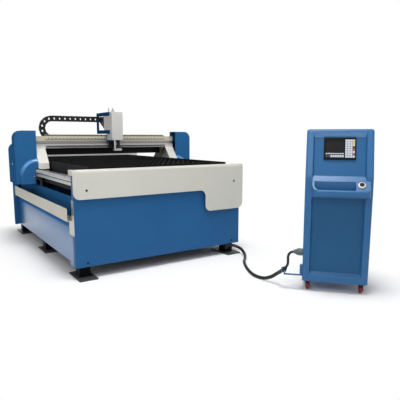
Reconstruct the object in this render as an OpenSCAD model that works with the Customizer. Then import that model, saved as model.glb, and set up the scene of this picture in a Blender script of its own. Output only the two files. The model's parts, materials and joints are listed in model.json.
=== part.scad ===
// Plasma cutting table: a slatted bed in a panelled frame, a travelling gantry that carries a torch head,
// and a control console on casters that is joined to the table by one conduit.
// Lengths are in millimetres. X runs to the right along the front, Y to the back, Z up from the floor.

/* [Table] */
// Width across the front panel
table_w = 1736; // [1640:2:1900]
// Depth from the front panel to the back of the rear housing
table_d = 2450; // [2300:2:2700]
// Height of the lower panel edges above the floor
skirt_z = 111; // [90:1:140]
// Thickness of the panel sheet
sheet_t = 3; // [2:0.5:4]
// Rounding of the front panel's upright edges
front_edge_r = 16; // [8:1:24]

/* [Feet] */
// Width of a foot pad
pad_w = 160; // [130:1:180]
// Length of a foot pad
pad_l = 300; // [240:1:340]
// Thickness of a foot pad
pad_t = 12; // [8:1:20]
// Diameter of a floor anchor hole
anchor_d = 18; // [12:1:22]
// Distance from a pad's end to the anchor hole's centre
anchor_edge = 20; // [16:1:24]

/* [Frame] */
// Width of a square post
post_w = 100; // [80:1:120]
// Distance from the table's side to a post
post_inset = 43; // [38:1:50]
// Distance from the table's front or back to a corner post
post_setback = 63; // [54:1:70]
// Wall of a post
post_wall = 5; // [3:0.5:8]
// Height of the post tops
frame_top_z = 806; // [786:1:826]
// Width of a square frame rail
tube_w = 60; // [40:1:60]
// Wall of a frame rail
tube_wall = 4; // [3:0.5:6]

/* [Apron] */
// How far the apron's top lies below the tray's edge
apron_drop = 19; // [10:1:30]
// Height of the apron's face
apron_h = 244; // [200:1:270]
// How far the right lobe hangs below the apron
lobe_drop = 209; // [150:1:230]
// Width of the right lobe
lobe_w = 461; // [400:1:520]
// Overhang of the apron past each side of the table
apron_over = 14; // [8:1:30]
// Distance from the front panel to the apron's face
apron_out = 30; // [26:1:40]
// Depth of the apron's top flange
apron_flange = 70; // [60:1:80]
// Rounding of the apron's top edge
apron_edge_r = 24; // [12:1:28]
// Rounding of the apron's lower corners
apron_corner_r = 60; // [30:1:80]

/* [Sides] */
// Distance from the post tops down to the chain trough's floor
trough_drop = 301; // [276:1:326]
// Height of the chain trough
trough_h = 112; // [90:1:130]
// How far the trough stands out from the side
trough_out = 44; // [30:1:60]
// How far the upper side panel is set back
upper_recess = 30; // [24:1:38]
// Height of the upper side panel
upper_h = 84; // [60:1:100]
// Length of the trough's end bracket
bracket_l = 120; // [90:1:140]
// Height of the trough's end bracket
bracket_h = 176; // [150:1:200]
// Thickness of the trough's end bracket
bracket_t = 5; // [3:0.5:8]

/* [Rear] */
// Depth of the rear housing
rear_d = 264; // [250:1:300]
// How far the rear housing's front stands out at each side
rear_wing = 61; // [46:1:75]
// How far the rear housing narrows to the back at each side
rear_taper = 44; // [30:1:50]
// Distance from the lower panel edges up to the rear housing's lower edge
rear_rise = 25; // [10:1:40]
// Distance from the post tops down to the rear housing's shoulders
rear_drop = 106; // [96:1:146]

/* [Bed] */
// Gap between a rail beam and the tray
tray_side_gap = 17; // [14:1:27]
// Distance from the table's ends to the tray's outer wall
tray_end_gap = 45; // [40:1:60]
// Height of the tray
tray_h = 180; // [170:1:190]
// How far the tray's underside hangs below the post tops
tray_seat = 29; // [21:1:46]
// Width of the ledges that carry the slats
ledge_w = 30; // [20:1:40]
// Thickness of the ledges
ledge_t = 6; // [4:1:10]
// Height of a slat to its tooth tips
slat_h = 100; // [80:1:120]
// Thickness of a slat
slat_t = 3; // [2:0.5:6]
// Distance between slats
slat_pitch = 100; // [80:1:140]
// How far the tooth tips lie below the tray's edge
slat_drop = 7; // [2:1:15]
// Distance between slat teeth
tooth_pitch = 60; // [40:1:90]
// Depth of the slat teeth
tooth_h = 28; // [15:1:40]

/* [Side rails] */
// Width of a rail beam
rail_w = 133; // [128:1:140]
// Height of a rail beam
rail_h = 46; // [40:1:56]
// Distance from the front panel's returns to the rail beam's ends
rail_end_gap = 2; // [1:1:20]
// Width of the rail beam's grooves
groove_w = 8; // [5:0.5:10]
// Depth of the rail beam's grooves
groove_d = 7; // [4:0.5:10]
// Distance from the rail beam's outer face to the guide rail's centre
guide_from_face = 83; // [75:1:90]
// Width of a guide rail
guide_w = 20; // [15:1:25]
// Height of a guide rail
guide_h = 14; // [12:0.5:18]
// Width of a rack with its teeth
rack_w = 22; // [18:1:24]
// Height of a rack
rack_h = 20; // [14:1:22]

/* [Gears] */
// Gear module of the racks and pinions
gear_m = 5; // [4:0.5:5]
// Teeth on a pinion
pinion_teeth = 16; // [14:1:17]
// Play between a pinion's teeth and its rack
gear_play = 1.6; // [1.4:0.1:2]
// Diameter of a pinion shaft
shaft_d = 20; // [14:1:24]

/* [Gantry] */
// Distance of the gantry from the table's middle
gantry_y = 215; // [0:1:400]
// Width of a gantry leg
leg_w = 107; // [103:1:110]
// Half the length of a leg's foot
leg_foot_half = 230; // [210:1:240]
// Half the length of a leg's head
leg_head_half = 100; // [80:1:110]
// Height of a leg's upright foot part
leg_foot_h = 60; // [40:1:80]
// Height of a leg
leg_h = 212; // [200:1:230]
// Wall of a leg
leg_t = 8; // [6:0.5:12]
// Height of the gantry beam
beam_h = 130; // [126:1:140]
// Depth of the gantry beam
beam_d = 140; // [130:1:150]
// Wall of the gantry beam
beam_wall = 6; // [4:0.5:8]
// Height of the carriage guide rails' profile
x_guide_w = 15; // [12:0.5:20]
// How far the carriage guide rails stand out
x_guide_h = 12; // [10:0.5:16]

/* [Covers] */
// Width of a gantry end cover
cover_w = 215; // [205:1:230]
// How far the covers reach below the post tops
cover_drop = 84; // [66:1:94]
// How far the covers rise above the gantry beam
cover_rise = 57; // [30:1:80]
// Height of the covers' upper part above their rear step
cover_step_h = 127; // [120:1:160]
// Distance from the gantry's middle to the covers' front
cover_front = 170; // [150:1:190]
// Distance from the gantry's middle to the back of the covers' upper part
cover_split = 30; // [20:1:60]
// Distance from the gantry's middle to the covers' back
cover_back = 190; // [150:1:210]
// Rounding of the covers' outer top corner
cover_r = 80; // [50:1:100]
// Radius of the covers' fender arch
fender_r = 186; // [150:1:190]
// How far the fender stands out
fender_out = 36; // [20:1:40]

/* [Drag chain] */
// Width of the drag chain
chain_w = 40; // [36:1:60]
// Height of a chain link
chain_h = 64; // [58:1:68]
// Bend radius at the chain's middle
chain_r = 110; // [104:1:116]
// Length of one link
chain_pitch = 64; // [56:1:72]
// Diameter of the holes in the links
chain_hole_d = 26; // [20:1:34]
// Distance from the table's left side to the chain's bend
chain_end_gap = 272; // [250:1:320]
// Wall of a link
chain_wall = 5; // [4:0.5:6]

/* [Torch head] */
// Position of the torch head along the beam
carriage_x = 20; // [-40:1:80]
// Width of the head
head_w = 132; // [126:1:150]
// How far the head reaches below the beam's top
head_drop = 46; // [34:1:56]
// Height of the head
head_h = 318; // [310:1:330]
// Depth of the head in front of the carriage plate
head_d = 154; // [150:1:160]
// Depth of the head's part over the beam
head_rear_d = 80; // [75:1:86]
// How far the head's part over the beam rises above the carriage plate
head_rear_rise = 120; // [110:1:130]
// Wall of the head's housing
head_t = 3; // [2:0.5:4]
// Thickness of the head's guide plate
head_floor_t = 10; // [8:1:14]
// Thickness of the carriage plate
plate_t = 10; // [8:1:12]
// Diameter of a lift rod
rod_d = 16; // [12:1:18]
// Diameter of the lift screw
screw_d = 14; // [12:1:16]
// Diameter of the torch barrel
torch_d = 34; // [28:1:36]
// How far the torch tip hangs below the head
torch_reach = 148; // [132:1:152]

/* [Console] */
// Distance from the table's right side to the console's middle
console_side = 146; // [86:1:186]
// Distance from the front panel to the console's wheel line
console_gap = 1368; // [1335:1:1480]
// Turn of the console
console_turn = -48; // [-54:1:-42]
// Width of the console
console_w = 490; // [470:1:520]
// Height of the console's lower window
lower_window_h = 590; // [560:1:620]
// Height of the console's upper window
upper_window_h = 312; // [300:1:330]
// Width of the console's front border
border_w = 54; // [46:1:60]
// Depth of the console's front border
border_d = 25; // [18:1:30]
// Depth of the console's body behind the front wheel line
console_back = 340; // [330:1:360]
// Width of the control panel
control_w = 232; // [220:1:250]
// Height of the control panel
control_h = 170; // [160:1:180]
// Thickness of the control panel
control_t = 12; // [8:1:20]
// How far the armrest stands out in front of the wheel line
armrest_out = 132; // [125:1:140]
// Diameter of the stop button's cap
button_d = 34; // [28:1:40]
// Travel of the stop button
button_travel = 6; // [4:1:8]

/* [Casters] */
// Diameter of a caster wheel
wheel_d = 60; // [50:1:60]
// Width of a caster wheel
wheel_w = 24; // [18:1:26]
// Distance from a caster's swivel axis to its axle
caster_trail = 18; // [14:1:20]
// Distance from the console's side to a caster's swivel axis
caster_inset = 44; // [38:1:50]
// Position of the front casters behind the wheel line
caster_front = 30; // [28:1:50]
// Distance from the console's back to the rear casters' swivel axes
caster_back = 56; // [50:1:80]
// Gap between a wheel and its fork's head
wheel_gap = 12; // [10:1:18]

/* [Conduit] */
// Diameter of the conduit
conduit_d = 30; // [24:1:34]
// Diameter of the console cable
cable_d = 20; // [16:1:22]

/* [Hidden] */
$fn = 48;
over = 1;
slide_gap = 0.3;
run_gap = 0.05;
half_w = table_w / 2;
half_d = table_d / 2;

// Floor pads and posts
post_half = post_w / 2;
pad_x = half_w - post_inset - post_half;
pad_y = half_d - post_setback - post_half;
mid_anchor_y = pad_l / 2 - anchor_edge;
anchor_y = pad_y + mid_anchor_y;

// Heights that hang from the post tops
tray_low_z = frame_top_z - tray_seat;
tray_top_z = tray_low_z + tray_h;
apron_z = tray_top_z - apron_drop;
trough_z = frame_top_z - trough_drop;
rear_top_z = frame_top_z - rear_drop;
cover_low_z = frame_top_z - cover_drop;

// Panel screws and trough bracket
screw_inset = 100;
screw_x = half_w - screw_inset;
apron_screw_drop = 170;
rear_stop_h = 59;
rear_stop_t = 12;
apron_screw_z = apron_z - apron_screw_drop;
stud_d = 12;
screw_head_d = 20;
screw_head_h = 4;
panel_screw_rise = 34;
panel_screw_z = skirt_z + panel_screw_rise;
side_rise = 30;
side_low_z = skirt_z + side_rise;
corner_l = 100;
trough_lip = 20;
flange_w = 60;
flange_h = 120;
slot_d = 12;

// Tray and rails
tray_x = half_w - rail_w - tray_side_gap;
tray_y = half_d - tray_end_gap;
rail_top_z = frame_top_z + rail_h;
rail_y = half_d - post_setback - rail_end_gap;
guide_x = half_w - guide_from_face;
guide_top_z = rail_top_z + guide_h;
slat_top_z = tray_top_z - slat_drop;
slat_low_z = slat_top_z - slat_h;
slat_gap = 2;
slat_half = tray_x - sheet_t - slat_gap;
slat_rows = floor((tray_y - sheet_t - ledge_w) / slat_pitch);
tooth_count = floor((slat_half - ledge_w) * 2 / tooth_pitch);

// Gears
rack_pitch = PI * gear_m;
pinion_r = gear_m * pinion_teeth / 2;
addendum_share = 0.9;
dedendum_share = 1.2;
addendum = gear_m * addendum_share;
dedendum = gear_m * dedendum_share;
pressure_angle = 20;
pressure_share = tan(pressure_angle);
tooth_half = rack_pitch / 4 - gear_play / 2;
pinion_h = rack_h - 2 * slide_gap;
y_pinion_x = half_w - addendum + pinion_r;
y_pinion_z = rail_top_z + slide_gap;

// Guide blocks and legs
block_lift = 3;
block_w = 44;
block_l = 90;
block_h = 21;
block_place = 150;
block_low_z = rail_top_z + block_lift;
leg_low_z = block_low_z + block_h;
leg_top_z = leg_low_z + leg_h;
leg_inset = 25;
leg_out_x = half_w - leg_inset;
leg_in_x = leg_out_x - leg_w;
shelf_lift = 4;
shelf_z = leg_low_z + shelf_lift;
shelf_t = 10;
shelf_w = 120;
shelf_half = 60;
gearbox_w = 80;
gearbox_h = 70;
motor_w = 86;
motor_h = 130;
shaft_depth = 20;

// Beam
beam_low_z = leg_top_z;
beam_top_z = beam_low_z + beam_h;
beam_front = leg_head_half;
beam_half = leg_out_x;
beam_groove_w = 10;
beam_groove_d = 5;
x_guide_edge = 22;
x_guide_low_z = beam_low_z + x_guide_edge;
x_guide_high_z = beam_top_z - x_guide_edge;
x_guide_end_gap = 6;
x_guide_half = leg_in_x - x_guide_end_gap;
x_rack_setback = 4;
x_rack_front = beam_front - x_rack_setback;
tie_t = 4;
tie_drop = 76;
tie_end_gap = 1;
tie_half = leg_in_x - tie_end_gap;
tie_y = beam_d - beam_front;
shelf_lip = 6;
chain_set = 50;
chain_y = tie_y + tie_t + shelf_lip + chain_set;
chain_rise = 10;
chain_low_z = beam_top_z - chain_h + chain_rise;
chain_mid_z = chain_low_z + chain_h / 2;
chain_high_z = chain_mid_z + 2 * chain_r - chain_h / 2;
chain_bend_x = chain_end_gap - half_w;
chain_fix_x = 0;

// Covers
cover_in_x = leg_out_x;
cover_top_z = beam_top_z + cover_rise;
cover_step_z = cover_top_z - cover_step_h;
cover_side_gap = 6;
cover_notch_x = half_w + cover_side_gap;
cover_notch_z = leg_low_z + cover_side_gap;
fender_rise = 78;
fender_z = cover_low_z + fender_rise;

// Carriage and head
x_block_gap = 3;
x_block_h = 23;
x_block_l = 80;
x_block_w = 34;
plate_back = beam_front + x_block_gap + x_block_h;
plate_front = plate_back + plate_t;
plate_low_gap = 4;
plate_low_z = beam_low_z + plate_low_gap;
plate_rise = 112;
plate_step = 66;
plate_step_z = beam_top_z - plate_step;
plate_top_z = beam_top_z + plate_rise;
head_left = carriage_x - head_w / 2;
head_front = plate_front + head_d;
head_low_z = beam_top_z - head_drop;
head_top_z = head_low_z + head_h;
head_rear_top_z = plate_top_z + head_rear_rise;
head_rear_gap = 7;
head_rear_z = beam_top_z + rack_h + head_rear_gap;
head_rear_back = plate_back - head_rear_d;
x_pinion_z = beam_top_z + rack_h - addendum + pinion_r;
x_pinion_front = x_rack_front - slide_gap;
x_motor_w = 60;
x_motor_l = 80;
z_motor_w = 42;
z_motor_h = 60;
screw_setback = 30;
screw_y = head_front - screw_setback;
rod_dx = 24;
nut_w = 84;
nut_d = 34;
nut_h = 40;
nut_rise = 88;
nut_z = head_low_z + nut_rise;
screw_low_z = head_low_z + head_floor_t + slide_gap;
z_motor_z = head_top_z - head_t - z_motor_h;
torch_side = 28;
torch_dx = head_w / 2 - torch_side;
torch_tip_z = head_low_z - torch_reach;
torch_hole_gap = 10;
torch_hole_d = torch_d + torch_hole_gap;
clamp_rise = 31;
clamp_z = torch_tip_z + clamp_rise;
clamp_h = 25;
clamp_d = 44;
rod_low_z = clamp_z;
torch_in = 25;
torch_top_z = head_low_z + torch_in;
tip_h = 34;
tip_d = 12;
bracket_arm = 42;
bracket_plate_t = 6;
bracket_lift = 28;
bracket_low_z = beam_top_z + bracket_lift;
bracket_top_z = chain_high_z + chain_h + bracket_arm;
bracket_setback = 60;
bracket_front = head_front - bracket_setback;
bracket_past = 30;
bracket_back = chain_y + chain_w + bracket_past;
bracket_post = chain_w + bracket_past;
boot_w = 40;
boot_gap = 4;
boot_drop = 84;
fitting_d = 22;
fitting_h = 90;
fitting_w = 36;

// Console outline, as depth behind the wheel line and height
console_x = half_w - console_side;
console_y = -half_d - console_gap;
head_disc_h = 12;
console_low_z = wheel_d + wheel_gap + head_disc_h;
sill_h = 77;
bar_h = 16;
rest_h = 149;
header_h = 37;
window_low_z = console_low_z + sill_h;
window_mid_z = window_low_z + lower_window_h;
shelf_low_z = window_mid_z + bar_h;
shelf_high_z = shelf_low_z + rest_h;
window_top_z = shelf_high_z + upper_window_h;
console_top_z = window_top_z + header_h;
face_low = -20;
face_mid = -50;
face_top = 60;
face_step = 11;
face_mid_z = shelf_low_z + face_step;
face_break_z = shelf_high_z - face_step;
console_wall = 3;
console_floor = 12;
rear_border = 24;
panel_t = 3;
panel_lap = 10;
half_console = console_w / 2;
window_half = half_console - border_w;
function face_at(z) = z < face_mid_z
    ? face_low + (face_mid - face_low) * (z - console_low_z) / (face_mid_z - console_low_z)
    : (z < face_break_z ? face_mid
        : face_mid + (face_top - face_mid) * (z - face_break_z) / (console_top_z - face_break_z));
lean = atan((face_top - face_mid) / (console_top_z - face_break_z));
control_drop = 111;
control_mid_z = window_top_z - control_drop;
screen_w = 130;
screen_h = 84;
screen_t = 2;
screen_dx = -36;
screen_dz = 14;
lip_h = 53;
lip_z = shelf_low_z + lip_h;
lip_r = 14;
rest_rise = 64;
rest_back_z = lip_z + rest_rise;
pocket_t = 7;
button_side = 62;
button_x = half_console - rear_border - button_side;
pocket_side = 40;
pocket_right = button_x - pocket_side;
button_base_d = 54;
button_base_h = 14;
button_base_floor = 2;
button_neck_d = 20;
button_cap_h = 14;
drive_w = 260;
drive_d = 120;
drive_h = 320;
drive_rise = 156;
drive_z = console_low_z + drive_rise;
plug_rise = 221;
plug_z = console_low_z + plug_rise;
plug_y = 20;
plug_l = 73;
plug_h = 58;
arm_rise = 40;
arm_z = console_low_z + arm_rise;
arm_w = 20;
arm_t = 8;
arm_y = -4;
arm_reach = 144;
arm_foot_l = 46;
arm_foot_h = 80;
arm_rod_d = 8;
ring_t = 7;
ring_gap = 2;

// Casters
king_d = 12;
caster_rear = console_back - caster_back;
cheek_t = 4;
cheek_gap = 1.2;
cheek_w = 32;
axle_d = 8;
head_rim = 1.5;
head_disc_r = norm([wheel_w / 2 + cheek_gap + cheek_t, cheek_w / 2 + caster_trail / 2]) + head_rim;

// Conduit and cable routes, lying on the floor from the gland to the console
function on_console(p) = [console_x + p.x * cos(console_turn) - p.y * sin(console_turn),
    console_y + p.x * sin(console_turn) + p.y * cos(console_turn), p.z];
gland_side = 128;
gland_drop = 26;
gland_place_share = 20 / 63;
gland_mouth = [half_w - gland_side, -half_d + post_setback * gland_place_share, skirt_z - gland_drop];
conduit_out = 128.8;
conduit_rise = 53;
conduit_end = on_console([-half_console - conduit_out, arm_y - arm_t, arm_z + conduit_rise]);
conduit_points = [[0, 0, 0], [60, -13, -3], [96, -85, -25], [70, -185, -53], [0, -285, -68],
    [-90, -385, -69], [-170, -505, -69], [-240, -635, -69], [-290, -775, -69], [-285, -885, -67],
    [-275, -975, -35], [-272, -1055, 19], [-292, -1139, 72], [-288, -1157, 92]];
conduit_pull_shares = [0, 0, 0.05, 0.1, 0.2, 0.3, 0.45, 0.6, 0.75, 0.85, 0.95, 1, 1, 1];
conduit_last = len(conduit_points) - 1;
conduit_pull = conduit_end - gland_mouth - conduit_points[conduit_last];
conduit_route = [for (i = [0 : conduit_last])
    gland_mouth + conduit_points[i] + conduit_pull_shares[i] * conduit_pull];
plug_end = on_console([-half_console - plug_l, plug_y, plug_z]);
cable_points = [[0, 0, 0], [14, -6, 28], [22, 0, 58], [27, 6, 88], [40, 2, 115], [63, -13, 128]];
cable_last = len(cable_points) - 1;
cable_pull = plug_end - conduit_end - cable_points[cable_last];
cable_route = [for (i = [0 : cable_last])
    conduit_end + cable_points[i] + i / cable_last * cable_pull];
route_steps = 2;
route_sides = 10;
gland_l = 50;
gland_w = 48;
gland_h = 46;
gland_bore_share = 0.8;
plug_neck_share = 0.7;

// Shared shapes
module slab(lo, hi) {
    translate(lo) cube(hi - lo);
}

// A box that lies the same way on both sides of the table
module both() {
    children();
    mirror([1, 0, 0]) children();
}

// An outline in the YZ plane drawn out along X
module along_x(x0, x1) {
    translate([x0, 0, 0]) rotate([90, 0, 90]) linear_extrude(height = x1 - x0) children();
}

// An outline in the XZ plane drawn out along Y
module along_y(y0, y1) {
    translate([0, y1, 0]) rotate([90, 0, 0]) linear_extrude(height = y1 - y0) children();
}

module tube_y(x, z, y0, y1) {
    difference() {
        slab([x - tube_w / 2, y0, z], [x + tube_w / 2, y1, z + tube_w]);
        slab([x - tube_w / 2 + tube_wall, y0 - over, z + tube_wall],
            [x + tube_w / 2 - tube_wall, y1 + over, z + tube_w - tube_wall]);
    }
}

module tube_x(y, z, x0, x1) {
    difference() {
        slab([x0, y - tube_w / 2, z], [x1, y + tube_w / 2, z + tube_w]);
        slab([x0 - over, y - tube_w / 2 + tube_wall, z + tube_wall],
            [x1 + over, y + tube_w / 2 - tube_wall, z + tube_w - tube_wall]);
    }
}

// Table
module floor_pads() {
    color("#1c1c1e") both() for (y = [-pad_y, 0, pad_y]) difference() {
        slab([pad_x - pad_w / 2, y - pad_l / 2, 0], [pad_x + pad_w / 2, y + pad_l / 2, pad_t]);
        for (h = (y == 0 ? [-mid_anchor_y, mid_anchor_y] : [sign(y) * anchor_y]))
            translate([pad_x, h, -over]) cylinder(d = anchor_d, h = pad_t + 2 * over);
    }
}

module frame_posts() {
    color("#26272a") both() for (y = [-pad_y, 0, pad_y]) difference() {
        slab([pad_x - post_half, y - post_half, pad_t], [pad_x + post_half, y + post_half, frame_top_z]);
        slab([pad_x - post_half + post_wall, y - post_half + post_wall, pad_t - over],
            [pad_x + post_half - post_wall, y + post_half - post_wall, frame_top_z + over]);
    }
}

module frame_rails() {
    color("#26272a") {
        both() for (z = [skirt_z, frame_top_z - tube_w]) {
            tube_y(pad_x, z, -pad_y + post_half, -post_half);
            tube_y(pad_x, z, post_half, pad_y - post_half);
        }
        for (y = [-pad_y, 0, pad_y]) {
            tube_x(y, skirt_z, -pad_x + post_half, pad_x - post_half);
            tube_x(y, tray_low_z - tube_w, -pad_x + post_half, pad_x - post_half);
        }
    }
}

module front_plan(inset) {
    w = half_w - inset;
    r = front_edge_r - inset;
    translate([0, -half_d + inset]) {
        translate([-w + r, 0]) square([2 * (w - r), post_setback]);
        translate([-w, r]) square([2 * w, post_setback - r]);
        for (s = [-1, 1]) translate([s * (w - r), r]) circle(r = r);
    }
}

module front_panel() {
    panel_h = apron_z - sheet_t - skirt_z;
    color("#3b6596") difference() {
        translate([0, 0, skirt_z]) linear_extrude(height = panel_h) front_plan(0);
        translate([0, 0, skirt_z + sheet_t]) linear_extrude(height = panel_h) front_plan(sheet_t);
    }
}

module side_sheet(x, z0, z1, lip, y0, y1) {
    along_y(y0, y1) difference() {
        translate([x - lip, z0]) square([lip, z1 - z0]);
        translate([x - lip - over, z0 + sheet_t]) square([lip + over - sheet_t, z1 - z0 - 2 * sheet_t]);
    }
}

// Lower side sheet, with a corner at the front that reaches as low as the front panel
module side_wall(top) {
    y0 = -half_d + post_setback;
    side_sheet(half_w, skirt_z, top, post_inset, y0, y0 + corner_l);
    side_sheet(half_w, side_low_z, top, post_inset, y0 + corner_l - over, half_d - rear_d);
}

module side_panels() {
    y0 = -half_d + post_setback;
    y1 = half_d - rear_d;
    trough_top = trough_z + trough_h;
    upper_x = half_w - upper_recess;
    color("#3b6596") {
        mirror([1, 0, 0]) {
            side_wall(trough_z);
            side_sheet(upper_x, trough_z, trough_top + upper_h, post_inset - upper_recess, y0, y1);
        }
        side_wall(trough_top - sheet_t);
        side_sheet(upper_x, trough_top, trough_top + upper_h, post_inset - upper_recess, y0, y1);
    }
}

module rear_plan(inset) {
    w0 = half_w + rear_wing - inset;
    w1 = w0 - rear_taper;
    y0 = half_d - rear_d + inset;
    y1 = half_d - inset;
    polygon([[-w0, y0], [w0, y0], [w1, y1], [-w1, y1]]);
}

module rear_housing() {
    y0 = half_d - rear_d;
    post_back = pad_y + post_half;
    wall_top = apron_z - sheet_t;
    low_z = skirt_z + rear_rise;
    color("#2f5a8c") {
        difference() {
            translate([0, 0, low_z]) linear_extrude(height = rear_top_z - low_z) rear_plan(0);
            translate([0, 0, low_z - over]) linear_extrude(height = rear_top_z - low_z - sheet_t + over)
                rear_plan(sheet_t);
            slab([-half_w, y0 - over, low_z - over], [half_w, y0 + sheet_t + over, rear_top_z + over]);
            slab([-half_w, y0 - over, rear_top_z - sheet_t - over], [half_w, post_back, rear_top_z + over]);
        }
        slab([-half_w, half_d - sheet_t, rear_top_z], [half_w, half_d, wall_top]);
    }
}

// Outline of an apron's face, with or without the hanging lobe
module apron_face(lobe) {
    w = half_w + apron_over;
    r = apron_corner_r;
    z0 = apron_z - apron_h;
    translate([-w + r, z0]) square([2 * (w - r), apron_h]);
    translate([-w, z0 + r]) square([2 * w, apron_h - r]);
    translate([-w + r, z0 + r]) circle(r = r);
    if (lobe) {
        x0 = w - lobe_w;
        translate([x0 + r, z0 - lobe_drop]) square([lobe_w - 2 * r, lobe_drop + r]);
        translate([x0, z0 - lobe_drop + r]) square([lobe_w, lobe_drop]);
        for (x = [x0 + r, w - r]) translate([x, z0 - lobe_drop + r]) circle(r = r);
        difference() {
            translate([x0 - r, z0 - r]) square([r + over, r + over]);
            translate([x0 - r, z0 - r]) circle(r = r);
        }
    } else {
        translate([w - r, z0 + r]) circle(r = r);
    }
}

// Side outline of the bent apron sheet, face at zero and flange to the back
module apron_bend(inset, low) {
    r = apron_edge_r - inset;
    translate([inset, low]) square([apron_flange + over, apron_z - inset - low - r]);
    translate([inset + r, low]) square([apron_flange + over, apron_z - inset - low]);
    translate([inset + r, apron_z - inset - r]) circle(r = r);
}

module apron(lobe) {
    low = apron_z - apron_h - (lobe ? lobe_drop : 0) - over;
    w = half_w + apron_over;
    face_y = -half_d - apron_out;
    difference() {
        intersection() {
            along_y(face_y - over, face_y + apron_flange) apron_face(lobe);
            translate([0, face_y, 0]) along_x(-w - over, w + over) difference() {
                apron_bend(0, low);
                apron_bend(sheet_t, low - over);
            }
        }
        for (x = [-screw_x, screw_x]) translate([x, face_y - over, apron_screw_z]) rotate([-90, 0, 0])
            cylinder(d = stud_d + 2 * run_gap, h = sheet_t + 2 * over);
    }
}

module front_apron() {
    color("#c9c7bb") apron(true);
}

// The rear apron carries a flat bar on its flange that stops the sheet
module rear_apron() {
    stop_y = -half_d - apron_out + (apron_flange - rear_stop_t) / 2;
    color("#c9c7bb") mirror([0, 1, 0]) {
        apron(false);
        slab([-half_w, stop_y, apron_z - over], [half_w, stop_y + rear_stop_t, apron_z + rear_stop_h]);
    }
}

module bed_tray() {
    color("#1f2022") {
        difference() {
            slab([-tray_x, -tray_y, tray_low_z], [tray_x, tray_y, tray_top_z]);
            slab([-tray_x + sheet_t, -tray_y + sheet_t, tray_low_z + sheet_t],
                [tray_x - sheet_t, tray_y - sheet_t, tray_top_z + over]);
        }
        both() slab([tray_x - sheet_t - ledge_w, -tray_y + sheet_t - over, slat_low_z - ledge_t],
            [tray_x - sheet_t + over, tray_y - sheet_t + over, slat_low_z]);
    }
}

module slats() {
    half_teeth = tooth_count * tooth_pitch / 2;
    root_z = slat_top_z - tooth_h;
    outline = concat([[-slat_half, slat_low_z], [slat_half, slat_low_z], [slat_half, root_z]],
        [for (i = [tooth_count : -1 : 1]) each [
            [-half_teeth + i * tooth_pitch, root_z],
            [-half_teeth + (i - 0.5) * tooth_pitch, slat_top_z]]],
        [[-half_teeth, root_z], [-slat_half, root_z]]);
    color("#232325") for (i = [-slat_rows : slat_rows])
        along_y(i * slat_pitch - slat_t / 2, i * slat_pitch + slat_t / 2) polygon(outline);
}

module rail_outline() {
    x0 = half_w - rail_w;
    difference() {
        translate([x0, frame_top_z]) square([rail_w, rail_h]);
        for (k = [1, 2]) translate([half_w - groove_d, frame_top_z + k * rail_h / 3 - groove_w / 2])
            square([groove_d + over, groove_w]);
        translate([half_w - guide_from_face / 2 - groove_w / 2, rail_top_z - groove_d])
            square([groove_w, groove_d + over]);
    }
}

module rail_beams() {
    color("#b9bcc0") both() along_y(-rail_y, rail_y) rail_outline();
}

// Rack outline: teeth point to +Y, pitch line at zero, a tooth gap at the origin
module rack_teeth(from, to, depth) {
    k0 = ceil(from / rack_pitch + 0.5);
    k1 = floor(to / rack_pitch - 0.5);
    tip = tooth_half - addendum * pressure_share;
    root = tooth_half + dedendum * pressure_share;
    polygon(concat([[from, -dedendum - depth], [to, -dedendum - depth], [to, -dedendum]],
        [for (k = [k1 - 0.5 : -1 : k0 - 0.5]) each [
            [k * rack_pitch + root, -dedendum], [k * rack_pitch + tip, addendum],
            [k * rack_pitch - tip, addendum], [k * rack_pitch - root, -dedendum]]],
        [[from, -dedendum]]));
}

// Pinion outline with a tooth pointing to -Y
module pinion_teeth_outline() {
    root_r = pinion_r - dedendum;
    tip_r = pinion_r + addendum;
    root_a = atan((tooth_half + dedendum * pressure_share) / root_r);
    tip_a = atan((tooth_half - addendum * pressure_share) / tip_r);
    step = 360 / pinion_teeth;
    polygon([for (i = [0 : pinion_teeth - 1]) each [
        [root_r * sin(i * step - root_a), -root_r * cos(i * step - root_a)],
        [tip_r * sin(i * step - tip_a), -tip_r * cos(i * step - tip_a)],
        [tip_r * sin(i * step + tip_a), -tip_r * cos(i * step + tip_a)],
        [root_r * sin(i * step + root_a), -root_r * cos(i * step + root_a)]]]);
}

module table_rails() {
    depth = rack_w - addendum - dedendum;
    color("#9a9da1") {
        both() slab([guide_x - guide_w / 2, -rail_y, rail_top_z],
            [guide_x + guide_w / 2, rail_y, guide_top_z]);
        both() translate([half_w - addendum, gantry_y, rail_top_z]) rotate([0, 0, -90]) mirror([1, 0, 0])
            linear_extrude(height = rack_h) rack_teeth(-rail_y - gantry_y, rail_y - gantry_y, depth);
    }
}

module chain_trough() {
    x0 = half_w - upper_recess;
    x1 = half_w + trough_out;
    y0 = -half_d + post_setback;
    y1 = half_d - rear_d;
    color("#b7b5a6") mirror([1, 0, 0]) along_y(y0, y1) difference() {
        translate([x0, trough_z]) square([x1 - x0, trough_h]);
        translate([x0 + sheet_t, trough_z + sheet_t]) square([x1 - x0 - 2 * sheet_t, trough_h]);
        translate([x0 - over, trough_z + trough_lip]) square([x1 - x0 - sheet_t + over, trough_h]);
    }
}

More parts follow.
